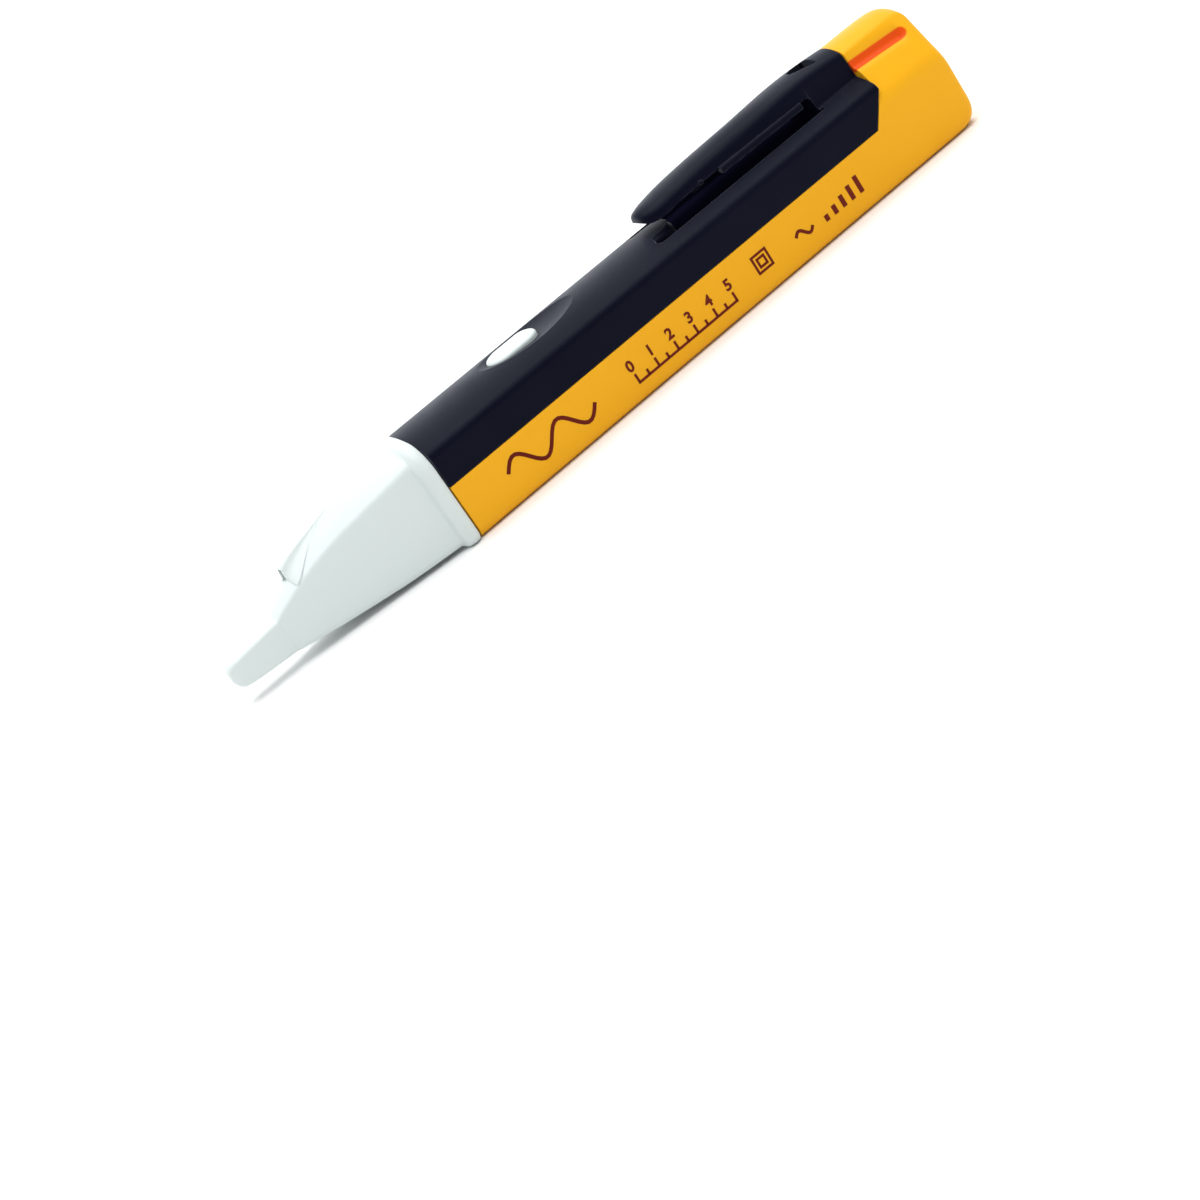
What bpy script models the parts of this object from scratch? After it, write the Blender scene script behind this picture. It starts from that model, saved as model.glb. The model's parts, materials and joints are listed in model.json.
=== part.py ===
"""Non contact voltage tester, pen shaped, with a sliding battery cover, a power button and a pocket clip.

Frame: metres, +Z up. +X runs along the pen from the sensing tip to the rear end, Y is across it, and the
origin is the centre of the footprint on the surface that the tester lies on. Stations along the pen are
written as distances from the sensing tip, and at() turns one into an X coordinate.
"""

import math

import bmesh
import bpy
from mathutils import Matrix, Vector

MM = 0.001

# Driving dimensions
LENGTH = 151.5 * MM
HALF_WIDTH = 9.7 * MM
WALL = 1.4 * MM
GAP = 0.3 * MM
SEAM_Z = 9.7 * MM
EDGE_Z = 16.3 * MM
CREST_Z = 18.0 * MM
CORNER_LOW = 1.6 * MM
CORNER_HIGH = 1.7 * MM

# Stations along the pen, from the sensing tip
COLLAR_START = 39.9 * MM
COLLAR_END = 42.4 * MM
CASE_START = COLLAR_END + GAP
CASE_END = 138.3 * MM
CASE_SLANT = 4.0 * MM
CASE_SLANT_RISE = 5.3 * MM
CASE_LOW_Z = 7.2 * MM
CAP_END = (
    # distance from the rear end, inset of the sides, top at the hump's shoulders, all in millimetres
    (6.0, 0.0, 22.2),
    (3.0, 0.05, 22.0),
    (1.5, 0.2, 21.5),
    (0.5, 0.7, 20.2),
    (0.0, 1.4, 18.8),
)
CAP_START = CASE_END - 5 * MM
CAP_WALL = 3.2 * MM
PAST = 1 * MM

# Collar at the rear of the nose cone
COLLAR_HALF_WIDTH = 10.4 * MM
COLLAR_CREST_Z = 19.1 * MM
COLLAR_CROWN = 0.5 * MM
COLLAR_CORNER = 5.2 * MM
COLLAR_CORNER_LOW = 1.4 * MM
SPIGOT_END = 46.7 * MM
SPIGOT_HALF_WIDTH = 6.9 * MM
SPIGOT_HEIGHTS = (2.0 * MM, 14.9 * MM)
SPIGOT_WALL = 1.2 * MM

# Nose cone
NOSE = (
    # station, half width, underside, top edge, crest, all in millimetres
    (0.0, 0.9, 4.3, 6.3, 6.4),
    (0.4, 1.5, 3.6, 7.0, 7.1),
    (1.6, 1.9, 3.1, 7.5, 7.7),
    (9.8, 2.05, 2.8, 7.7, 7.9),
    (11.3, 2.15, 2.6, 7.9, 8.3),
    (13.0, 2.8, 2.3, 9.3, 10.0),
    (16.0, 3.7, 1.8, 11.5, 12.4),
    (20.5, 4.7, 1.2, 13.3, 14.4),
    (25.0, 5.7, 0.7, 14.5, 16.0),
    (30.0, 6.9, 0.4, 15.4, 17.3),
    (35.0, 8.1, 0.2, 16.0, 18.1),
    (39.9, 9.4, 0.1, 16.4, 18.5),
)
HOLLOW_FROM = 7
NOSE_WALL = 1.5 * MM
SPINE_HALF_WIDTH = 1.4 * MM

# Rear hump, which carries the clip's root and runs on over the battery cover
HUMP_START = 129.6 * MM
HUMP_HALF_WIDTH = 4.9 * MM
HUMP_Z = 22.9 * MM
HUMP_REAR_Z = 22.3 * MM
HUMP_FALL = 2.4 * MM
HUMP_FOOT = HUMP_HALF_WIDTH + 0.7 * MM
HUMP_ROOM = (12 * MM, 20.6 * MM)
WINDOW = (131.4 * MM, 136.2 * MM)
WINDOW_HALF_WIDTH = 1.0 * MM
WINDOW_FLOOR_Z = 17.5 * MM

# Pocket clip and the recess under it
CLIP = (
    # station, half width, underside, top at the shoulders, all in millimetres
    (95.2, 2.7, 20.3, 20.7),
    (95.9, 3.8, 20.1, 20.9),
    (98.0, 4.5, 20.1, 21.2),
    (102.0, 4.7, 20.3, 21.8),
    (105.5, 4.75, 20.3, 22.15),
    (108.9, 4.8, 20.2, 22.4),
    (109.1, 4.8, 19.95, 22.4),
    (116.0, 4.85, 19.95, 22.7),
    (129.3, 4.9, 19.95, 22.9),
)
CLIP_CORNER = 1.1
CLIP_ROOT = (HUMP_START, 20.6 * MM)
CLIP_PIP = (103.6 * MM, 105.2 * MM, 106.6 * MM, 108.2 * MM)
CLIP_PIP_Z = 18.9 * MM
CLIP_PIP_HALF_WIDTH = 2.5 * MM
RECESS_START = 93.8 * MM
RECESS_HALF_WIDTH = 6.2 * MM
RECESS_FLOOR_Z = 15.5 * MM
TONGUE_RADIUS = 5.0 * MM

# Room inside the upper case
ROOM_SPLIT = 83 * MM
ROOM_HALF_WIDTH = 7.2 * MM
CEILING_REAR_Z = 14.3 * MM

# Power button and the dish around it
BUTTON_CENTRE = 66.3 * MM
BUTTON_LENGTH = 9.6 * MM
BUTTON_HALF_WIDTH = 2.8 * MM
BUTTON_TOP_Z = 18.5 * MM
BUTTON_FLANGE = 0.7 * MM
BUTTON_TRAVEL = 0.4 * MM
CEILING_FRONT_Z = EDGE_Z - 0.7 * MM
FLANGE_THICKNESS = 0.6 * MM
FLANGE_TOP_Z = CEILING_FRONT_Z - GAP
DISH_CENTRE = 69.6 * MM
DISH_HALF_LENGTH = 10.6 * MM
DISH_HALF_WIDTH = 5.3 * MM
DISH_DEPTH = 1.1 * MM

# Batteries, size AAA, end to end
BATTERY_RADIUS = 5.25 * MM
BATTERY_LENGTH = 44.5 * MM
NUB_RADIUS = 1.9 * MM
NUB_LENGTH = 0.8 * MM
BATTERY_Z = WALL + GAP + BATTERY_RADIUS
BATTERY_FRONT = 50.2 * MM
BATTERY_REAR = BATTERY_FRONT + BATTERY_LENGTH + GAP

# Battery tray and the contacts in it
TRAY_HALF_WIDTH = 6.9 * MM
TRAY_START = 47.6 * MM
TRAY_END = 147.4 * MM
TRAY_LOW_Z = 3.0 * MM
TRAY_ROOF_Z = BATTERY_Z + BATTERY_RADIUS + 0.2 * MM
TRAY_TOP_Z = TRAY_ROOF_Z + 1.2 * MM
TRAY_WALL = 1.5 * MM
CHANNEL_HALF_WIDTH = 1.3 * MM
CONTACT_THICKNESS = 0.5 * MM
CONTACT_LOW_Z = 4.2 * MM
SPRING_RADIUS = 2.6 * MM
SPRING_WIRE = 0.35 * MM
SPRING_TURNS = 4

# Circuit board
BOARD_START = 29.5 * MM
BOARD_END = 80.0 * MM
BOARD_NARROW_END = 47.3 * MM
BOARD_HALF_WIDTH = 6.6 * MM
BOARD_NARROW_HALF_WIDTH = 3.2 * MM
BOARD_Z = TRAY_ROOF_Z + 0.3 * MM
BOARD_THICKNESS = 0.8 * MM
BOARD_TOP_Z = BOARD_Z + BOARD_THICKNESS
STRIP_Z = TRAY_TOP_Z - 0.5 * MM

# Lamp and antenna in the nose
LED_TIP = 22.6 * MM
LED_LENGTH = 4.6 * MM
LED_RADIUS = 1.5 * MM
LED_Z = 10.2 * MM
LEG_PITCH = 1.27 * MM
LEG_THICKNESS = 0.4 * MM
ANTENNA_START = 2.6 * MM
ANTENNA_BEND = 28.5 * MM
ANTENNA_RISE_END = 33.4 * MM
ANTENNA_END = 34.2 * MM
ANTENNA_Z = 5.1 * MM
ANTENNA_THICKNESS = 0.4 * MM
ANTENNA_HALF_WIDTH = 0.7 * MM
BUZZER_CENTRE = 39.4 * MM
BUZZER_RADIUS = 4.2 * MM
BUZZER_HEIGHT = 4.6 * MM


def at(station):
    """The X coordinate of a distance from the sensing tip."""
    return station - LENGTH / 2


def clear_scene():
    for obj in list(bpy.data.objects):
        bpy.data.objects.remove(obj, do_unlink=True)


def material(name, colour, roughness, metallic=0.0):
    made = bpy.data.materials.get(name)
    if made is None:
        made = bpy.data.materials.new(name)
        made.use_nodes = True
        shader = made.node_tree.nodes["Principled BSDF"]
        shader.inputs["Base Color"].default_value = (*colour, 1.0)
        shader.inputs["Roughness"].default_value = roughness
        shader.inputs["Metallic"].default_value = metallic
    made.diffuse_color = (*colour, 1.0)
    return made


def yellow_plastic():
    return material("yellow_plastic", (0.85, 0.44, 0.02), 0.4)


def dark_plastic():
    return material("dark_plastic", (0.013, 0.013, 0.024), 0.45)


def white_plastic():
    return material("white_plastic", (0.80, 0.86, 0.84), 0.35)


def add_object(name, points, faces, look):
    mesh = bpy.data.meshes.new(name)
    mesh.from_pydata([tuple(p) for p in points], [], faces)
    work = bmesh.new()
    work.from_mesh(mesh)
    bmesh.ops.recalc_face_normals(work, faces=work.faces)
    work.to_mesh(mesh)
    work.free()
    mesh.shade_smooth()
    mesh.set_sharp_from_angle(angle=math.radians(35))
    mesh.materials.append(look)
    obj = bpy.data.objects.new(name, mesh)
    bpy.context.scene.collection.objects.link(obj)
    return obj


def loft(name, rings, look):
    """A closed body through rings of equally many points, with a flat face at each end."""
    count = len(rings[0])
    points = [point for ring in rings for point in ring]
    faces = [tuple(range(count))]
    for row in range(len(rings) - 1):
        for i in range(count):
            j = (i + 1) % count
            near, far = row * count, (row + 1) * count
            faces.append((near + i, near + j, far + j, far + i))
    faces.append(tuple(range((len(rings) - 1) * count, len(rings) * count)))
    return add_object(name, points, faces, look)


def set_origin(obj, station, y, z):
    """Puts an object's origin on its joint's axis, leaving its shape where it is."""
    place = Matrix.Translation((at(station), y, z))
    obj.data.transform(place.inverted())
    obj.matrix_world = place


def ring_x(station, outline):
    """An outline of (y, z) points, placed across the pen at a station."""
    return [Vector((at(station), y, z)) for y, z in outline]


def prism_y(name, outline, low_y, high_y, look):
    """A body with an outline of (station, z) points, between two Y coordinates."""
    rings = [[Vector((at(s), y, z)) for s, z in outline] for y in (low_y, high_y)]
    return loft(name, rings, look)


def prism_z(name, outline, low_z, high_z, look):
    """A body with an outline of (station, y) points, between two heights."""
    rings = [[Vector((at(s), y, z)) for s, y in outline] for z in (low_z, high_z)]
    return loft(name, rings, look)


def block(name, stations, half_width, heights, look, centre_y=0.0):
    low, high = stations
    outline = [(low, heights[0]), (high, heights[0]), (high, heights[1]), (low, heights[1])]
    return prism_y(name, outline, centre_y - half_width, centre_y + half_width, look)


def rod_x(name, stations_radii, centre_y, centre_z, look, sides=24):
    """A body turned about a line along X, through (station, radius) pairs."""
    rings = []
    for station, radius in stations_radii:
        turn = [2 * math.pi * i / sides for i in range(sides)]
        outline = [(centre_y + radius * math.cos(a), centre_z + radius * math.sin(a)) for a in turn]
        rings.append(ring_x(station, outline))
    return loft(name, rings, look)


def rod_z(name, heights_radii, station, centre_y, look, sides=24):
    """A body turned about a vertical line, through (height, radius) pairs."""
    rings = []
    for height, radius in heights_radii:
        turn = [2 * math.pi * i / sides for i in range(sides)]
        points = [(station + radius * math.cos(a), centre_y + radius * math.sin(a)) for a in turn]
        rings.append([Vector((at(s), y, height)) for s, y in points])
    return loft(name, rings, look)


def arc(centre, radius, start, end, steps):
    """Points on an arc, angles in degrees, both ends included."""
    turn = [math.radians(start + (end - start) * i / steps) for i in range(steps + 1)]
    return [(centre[0] + radius * math.cos(a), centre[1] + radius * math.sin(a)) for a in turn]


def body_outline(half_width, low_z, edge_z, crest_z, low_corner, high_corner, steps=4):
    """The pen's section: a rounded box whose top rises from edge_z at its corners to crest_z."""
    right = arc((half_width - low_corner, low_z + low_corner), low_corner, -90, 0, steps)
    right += arc((half_width - high_corner, edge_z - high_corner), high_corner, 0, 90, steps)
    shoulder = half_width - high_corner
    for share in (0.7, 0.4, 0.0):
        right.append((shoulder * share, edge_z + (crest_z - edge_z) * (1 - share**2)))
    left = [(-y, z) for y, z in reversed(right[:-1])]
    return right + left


def stadium(centre, half_length, half_width, steps=6):
    """A pill outline along the pen, as (station, y) points."""
    reach = half_length - half_width
    points = arc((centre + reach, 0.0), half_width, -90, 90, steps)
    points += arc((centre - reach, 0.0), half_width, 90, 270, steps)
    return points


def guide(obj):
    obj.hide_render = True
    obj.display_type = "WIRE"


def combine(target, other, operation):
    guide(other)
    change = target.modifiers.new(operation.title() + "_" + other.name, "BOOLEAN")
    change.operation = operation
    change.solver = "EXACT"
    change.object = other


def cut(target, other):
    combine(target, other, "DIFFERENCE")


def join(target, other):
    combine(target, other, "UNION")


def hump_outline(half_width, low_z, top_z, corner=1.1 * MM, crown=0.5 * MM):
    """The section of the hump along the pen's back: tapered sides, rounded shoulders and a slight crown."""
    shoulder = half_width - corner
    right = [(HUMP_FOOT, low_z)]
    right += arc((shoulder, top_z - corner), corner, 0, 90, 4)
    right.append((0.0, top_z + crown))
    left = [(-y, z) for y, z in reversed(right[:-1])]
    return right + left


def make_upper_case():
    """Dark upper half of the housing, with a tongue inside the battery cover and the hump at its rear."""
    look = dark_plastic()
    outline = body_outline(HALF_WIDTH, 0.0, EDGE_Z, CREST_Z, CORNER_LOW, CORNER_HIGH)
    case = loft("upper_case", [ring_x(CASE_START, outline), ring_x(CASE_END, outline)], look)
    heights = ((HUMP_START, HUMP_Z), (CASE_END - HUMP_FALL, HUMP_Z), (CASE_END, HUMP_REAR_Z))
    rings = [ring_x(s, hump_outline(HUMP_HALF_WIDTH, EDGE_Z - 1 * MM, z)) for s, z in heights]
    join(case, loft("upper_case_hump", rings, look))
    span = (CASE_START - PAST, CASE_END + PAST)
    tongue = HALF_WIDTH - WALL - GAP
    for side in (-1, 1):
        name = f"upper_case_below_{side}"
        centre = side * (tongue + HALF_WIDTH / 2)
        cut(case, block(name, span, HALF_WIDTH / 2, (-PAST, SEAM_Z + GAP / 2), look, centre))
    cut(case, block("upper_case_low", span, HALF_WIDTH, (-PAST, CASE_LOW_Z), look))
    front = (CASE_START - PAST, ROOM_SPLIT + PAST)
    cut(case, block("upper_case_front_room", front, ROOM_HALF_WIDTH, (0.0, CEILING_FRONT_Z), look))
    rear = (ROOM_SPLIT, CASE_END + PAST)
    cut(case, block("upper_case_rear_room", rear, ROOM_HALF_WIDTH, (0.0, CEILING_REAR_Z), look))
    wide = (CASE_START - PAST, CASE_END - 6 * MM)
    cut(case, block("upper_case_wide_room", wide, HALF_WIDTH - WALL, (SEAM_Z + WALL, CEILING_REAR_Z), look))
    slant = CASE_END - CASE_SLANT
    wedge = [
        (slant, SEAM_Z),
        (slant - CASE_SLANT * SEAM_Z / CASE_SLANT_RISE, 0.0),
        (CASE_END + PAST, 0.0),
        (CASE_END + PAST, SEAM_Z + CASE_SLANT_RISE),
        (CASE_END, SEAM_Z + CASE_SLANT_RISE),
    ]
    cut(case, prism_y("upper_case_slant", wedge, -12 * MM, 12 * MM, look))
    cut(case, make_dish())
    opening = stadium(BUTTON_CENTRE, BUTTON_LENGTH / 2 + GAP, BUTTON_HALF_WIDTH + GAP)
    cut(case, prism_z("upper_case_button_hole", opening, 12 * MM, 20 * MM, look))
    recess = [(HUMP_START, -RECESS_HALF_WIDTH), (RECESS_START, -RECESS_HALF_WIDTH)]
    recess += arc((RECESS_START + 0.6 * MM, 0.0), TONGUE_RADIUS, -90, 90, 8)
    recess += [(RECESS_START, RECESS_HALF_WIDTH), (HUMP_START, RECESS_HALF_WIDTH)]
    cut(case, prism_z("upper_case_recess", recess, RECESS_FLOOR_Z, 20 * MM, look))
    window = stadium(sum(WINDOW) / 2, (WINDOW[1] - WINDOW[0]) / 2, WINDOW_HALF_WIDTH, steps=4)
    cut(case, prism_z("upper_case_window", window, WINDOW_FLOOR_Z, 25 * MM, look))


def make_dish():
    """Cutter for the shallow dish around the button: the bottom of a flattened ball."""
    rings = []
    rows = 5
    sides = 28
    for row in range(rows + 1):
        share = row / rows
        reach = 1.05 * math.sqrt(share) if row else 0.15
        long, wide = DISH_HALF_LENGTH * reach, DISH_HALF_WIDTH * reach
        height = CREST_Z - DISH_DEPTH + (DISH_DEPTH + 0.6 * MM) * share**1.5
        turn = [2 * math.pi * i / sides for i in range(sides)]
        middle = at(DISH_CENTRE)
        rings.append([Vector((middle + long * math.cos(a), wide * math.sin(a), height)) for a in turn])
    return loft("upper_case_dish", rings, dark_plastic())


def cap_outline(inset, top_z):
    """The section of the cover's rear cap, whose shoulders slope straight up to the hump."""
    side = HALF_WIDTH - inset
    low = inset * 0.8
    round_side, round_top = 2.4 * MM, 1.6 * MM
    right = arc((side - CORNER_LOW, low + CORNER_LOW), CORNER_LOW, -90, 0, 4)
    right += arc((side - round_side, top_z - 9.0 * MM), round_side, 0, 40, 3)
    right += arc((HUMP_HALF_WIDTH - round_top, top_z - round_top), round_top, 35, 90, 3)
    right.append((0.0, top_z + 0.4 * MM))
    left = [(-y, z) for y, z in reversed(right[:-1])]
    return right + left


def make_groove(side, look):
    """Cutter for the hollow between the hump and one shoulder, which shallows out before the rear end."""
    rings = []
    for station, shift in (
        (CASE_END - 6 * MM, 0.0),
        (LENGTH - 5.5 * MM, 0.3 * MM),
        (LENGTH - 2.6 * MM, 1.8 * MM),
    ):
        outline = [
            (HUMP_FOOT - 0.7 * MM, HUMP_REAR_Z - 1.1 * MM),
            (HUMP_FOOT + 0.1 * MM, EDGE_Z + 1.3 * MM),
            (HUMP_FOOT + 2.4 * MM, EDGE_Z + 0.1 * MM),
            (HUMP_FOOT + 4.4 * MM, EDGE_Z - 1.6 * MM),
            (HUMP_FOOT + 5.4 * MM, EDGE_Z + 8 * MM),
            (HUMP_FOOT - 0.5 * MM, EDGE_Z + 8 * MM),
        ]
        rings.append(ring_x(station, [(side * (y + shift), z + shift) for y, z in outline]))
    return loft(f"battery_cover_groove_{side}", rings, look)


def make_battery_cover():
    """Yellow lower half of the housing, which slides off rearward: a trough with a closed rear cap."""
    look = yellow_plastic()
    outline = body_outline(HALF_WIDTH, 0.0, EDGE_Z, CREST_Z, CORNER_LOW, CORNER_HIGH)
    cover = loft("battery_cover", [ring_x(s, outline) for s in (CASE_START, CASE_END - 4 * MM)], look)
    rings = [ring_x(CAP_START, cap_outline(0.0, HUMP_REAR_Z))]
    for distance, inset, top_z in CAP_END:
        rings.append(ring_x(LENGTH - distance * MM, cap_outline(inset * MM, top_z * MM)))
    join(cover, loft("battery_cover_cap", rings, look))
    trough = (CASE_START - PAST, LENGTH - CAP_WALL)
    heights = (WALL, EDGE_Z - 1.8 * MM)
    cut(cover, block("battery_cover_trough", trough, HALF_WIDTH - WALL, heights, look))
    hump_room = (CASE_END, LENGTH - CAP_WALL - 1.2 * MM)
    cut(cover, block("battery_cover_hump_room", hump_room, HUMP_HALF_WIDTH - WALL, HUMP_ROOM, look))
    above = [
        (CASE_START - PAST, SEAM_Z - GAP / 2),
        (CASE_END - CASE_SLANT + GAP, SEAM_Z - GAP / 2),
        (CASE_END + GAP, SEAM_Z + CASE_SLANT_RISE),
        (CASE_END + GAP, 30 * MM),
        (CASE_START - PAST, 30 * MM),
    ]
    cut(cover, prism_y("battery_cover_above", above, -12 * MM, 12 * MM, look))
    for side in (-1, 1):
        cut(cover, make_groove(side, look))
    set_origin(cover, CASE_START, 0.0, 0.0)


def nose_outline(half_width, low_z, edge_z, crest_z):
    corner = min(1.5 * MM, half_width * 0.35)
    return body_outline(half_width, low_z, edge_z, crest_z, corner, corner)


def make_nose_cone():
    """Translucent white nose: a flat sensing blade, a swelling cone and a collar that the housing meets."""
    look = white_plastic()
    rings = []
    for station, half_width, low_z, edge_z, crest_z in NOSE:
        sizes = (half_width * MM, low_z * MM, edge_z * MM, crest_z * MM)
        rings.append(ring_x(station * MM, nose_outline(*sizes)))
    nose = loft("nose_cone", rings, look)
    collar_rings = []
    for station, inset in (
        (COLLAR_START, 0.5 * MM),
        (COLLAR_START + 0.7 * MM, 0.0),
        (COLLAR_END - 0.5 * MM, 0.0),
        (COLLAR_END, 0.3 * MM),
    ):
        crest = COLLAR_CREST_Z - inset
        sizes = (COLLAR_HALF_WIDTH - inset, inset * 0.3, crest - COLLAR_CROWN, crest)
        collar_rings.append(ring_x(station, body_outline(*sizes, COLLAR_CORNER_LOW, COLLAR_CORNER)))
    join(nose, loft("nose_cone_collar", collar_rings, look))
    spine = [
        (16.0 * MM, 9 * MM),
        (16.2 * MM, 14.4 * MM),
        (17.2 * MM, 14.9 * MM),
        (24.5 * MM, 16.2 * MM),
        (26.0 * MM, 12 * MM),
    ]
    join(nose, prism_y("nose_cone_spine", spine, -SPINE_HALF_WIDTH, SPINE_HALF_WIDTH, look))
    low, high = SPIGOT_HEIGHTS
    join(nose, block("nose_cone_spigot", (COLLAR_START, SPIGOT_END), SPIGOT_HALF_WIDTH, (low, high), look))
    hollow = []
    for station, half_width, low_z, edge_z, crest_z in NOSE[HOLLOW_FROM:]:
        half, floor = half_width * MM - NOSE_WALL, low_z * MM + NOSE_WALL
        sizes = (half, floor, edge_z * MM - NOSE_WALL, crest_z * MM - NOSE_WALL)
        hollow.append(ring_x(station * MM, nose_outline(*sizes)))
    cut(nose, loft("nose_cone_hollow", hollow, look))
    inner = SPIGOT_HALF_WIDTH - SPIGOT_WALL
    heights = (low + SPIGOT_WALL, high - SPIGOT_WALL)
    cut(nose, block("nose_cone_mouth", (COLLAR_START - 2 * MM, SPIGOT_END + PAST), inner, heights, look))
    slot = (ANTENNA_START - 0.6 * MM, 22 * MM)
    heights = (ANTENNA_Z - 0.5 * MM, ANTENNA_Z + 0.9 * MM)
    cut(nose, block("nose_cone_antenna_slot", slot, ANTENNA_HALF_WIDTH + 0.4 * MM, heights, look))


def make_pocket_clip():
    """Springy arm over the pen's back, thin at its tip, with a grip pip underneath."""
    look = dark_plastic()
    rings = []
    for station, half_width, low_z, top_z in CLIP:
        corner = min(CLIP_CORNER, (top_z - low_z) * 0.8, half_width * 0.5)
        right = [(half_width * MM, low_z * MM)]
        right += arc(((half_width - corner) * MM, (top_z - corner) * MM), corner * MM, 0, 90, 4)
        right.append((0.0, (top_z + 0.45 * corner) * MM))
        left = [(-y, z) for y, z in reversed(right[:-1])]
        rings.append(ring_x(station * MM, right + left))
    clip = loft("pocket_clip", rings, look)
    root_z = CLIP_PIP_Z + 1.9 * MM
    pip = list(zip(CLIP_PIP, (root_z, CLIP_PIP_Z, CLIP_PIP_Z, root_z)))
    join(clip, prism_y("pocket_clip_pip", pip, -CLIP_PIP_HALF_WIDTH, CLIP_PIP_HALF_WIDTH, look))
    set_origin(clip, CLIP_ROOT[0], 0.0, CLIP_ROOT[1])


def make_power_button():
    """White oval button, with a flange that keeps it under the case."""
    look = white_plastic()
    rings = []
    inset_by_height = (
        (FLANGE_TOP_Z - FLANGE_THICKNESS, -BUTTON_FLANGE),
        (FLANGE_TOP_Z, -BUTTON_FLANGE),
        (FLANGE_TOP_Z, 0.0),
        (BUTTON_TOP_Z - 1.2 * MM, 0.0),
        (BUTTON_TOP_Z - 0.5 * MM, 0.3 * MM),
        (BUTTON_TOP_Z - 0.1 * MM, 0.9 * MM),
        (BUTTON_TOP_Z, 1.6 * MM),
    )
    for height, inset in inset_by_height:
        outline = stadium(BUTTON_CENTRE, BUTTON_LENGTH / 2 - inset, BUTTON_HALF_WIDTH - inset)
        rings.append([Vector((at(s), y, height)) for s, y in outline])
    button = loft("power_button", rings, look)
    set_origin(button, BUTTON_CENTRE, 0.0, FLANGE_TOP_Z)


def make_switch():
    """Push switch on the board, and its stem, which the button presses."""
    black = material("switch_black", (0.02, 0.02, 0.02), 0.5)
    steel = material("contact_steel", (0.62, 0.62, 0.60), 0.3, 1.0)
    base = BOARD_TOP_Z + 0.1 * MM
    span = (BUTTON_CENTRE - 2.2 * MM, BUTTON_CENTRE + 2.2 * MM)
    body = block("tact_switch", span, 1.6 * MM, (base, base + 0.55 * MM), steel)
    well = ((base + 0.15 * MM, 1.1 * MM), (base + 1 * MM, 1.1 * MM))
    cut(body, rod_z("tact_switch_well", well, BUTTON_CENTRE, 0.0, steel, 16))
    press_z = FLANGE_TOP_Z - FLANGE_THICKNESS - 0.05 * MM
    heights = ((base + 0.2 * MM + BUTTON_TRAVEL, 0.8 * MM), (press_z, 0.8 * MM))
    stem = rod_z("switch_stem", heights, BUTTON_CENTRE, 0.0, black, 16)
    set_origin(stem, BUTTON_CENTRE, 0.0, FLANGE_TOP_Z)


def make_board():
    """Circuit board, narrow in the nose and wide over the front battery."""
    green = material("board_green", (0.01, 0.16, 0.06), 0.5)
    outline = [
        (BOARD_START, -BOARD_NARROW_HALF_WIDTH),
        (BOARD_NARROW_END, -BOARD_NARROW_HALF_WIDTH),
        (BOARD_NARROW_END, -BOARD_HALF_WIDTH),
        (BOARD_END, -BOARD_HALF_WIDTH),
        (BOARD_END, BOARD_HALF_WIDTH),
        (BOARD_NARROW_END, BOARD_HALF_WIDTH),
        (BOARD_NARROW_END, BOARD_NARROW_HALF_WIDTH),
        (BOARD_START, BOARD_NARROW_HALF_WIDTH),
    ]
    prism_z("circuit_board", outline, BOARD_Z, BOARD_TOP_Z, green)


def make_led():
    """Red lamp in the nose, and its two legs up to the board."""
    red = material("led_red", (0.75, 0.02, 0.02), 0.15)
    steel = material("contact_steel", (0.62, 0.62, 0.60), 0.3, 1.0)
    dome = (0.25, 0.6, 1.0, 1.35)
    profile = [(LED_TIP + LED_RADIUS * (1 - math.cos(a)), LED_RADIUS * math.sin(a)) for a in dome]
    rim = LED_TIP + LED_LENGTH - 1 * MM
    flange = LED_RADIUS + 0.3 * MM
    profile += [(rim, LED_RADIUS), (rim, flange), (rim + 1 * MM, flange)]
    rod_x("red_led", profile, 0.0, LED_Z, red, 20)
    start = LED_TIP + LED_LENGTH + GAP
    thick = LEG_THICKNESS
    end = BOARD_START + 1.2 * MM
    for number, side in ((1, -1), (2, 1)):
        outline = [
            (start, LED_Z),
            (end, LED_Z),
            (end, BOARD_Z - GAP),
            (end - thick, BOARD_Z - GAP),
            (end - thick, LED_Z + thick),
            (start, LED_Z + thick),
        ]
        centre = side * LEG_PITCH / 2
        prism_y(f"led_leg_{number}", outline, centre - thick / 2, centre + thick / 2, steel)


def make_antenna():
    """Metal strip that senses the field, from inside the blade back to the board."""
    brass = material("antenna_brass", (0.72, 0.50, 0.20), 0.3, 1.0)
    thick = ANTENNA_THICKNESS
    top = BOARD_Z - GAP
    outline = [
        (ANTENNA_START, ANTENNA_Z),
        (ANTENNA_BEND, ANTENNA_Z),
        (ANTENNA_RISE_END, top - thick),
        (ANTENNA_END, top - thick),
        (ANTENNA_END, top),
        (ANTENNA_RISE_END - 0.3 * MM, top),
        (ANTENNA_BEND - 0.2 * MM, ANTENNA_Z + thick),
        (ANTENNA_START, ANTENNA_Z + thick),
    ]
    prism_y("sensor_antenna", outline, -ANTENNA_HALF_WIDTH, ANTENNA_HALF_WIDTH, brass)


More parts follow.
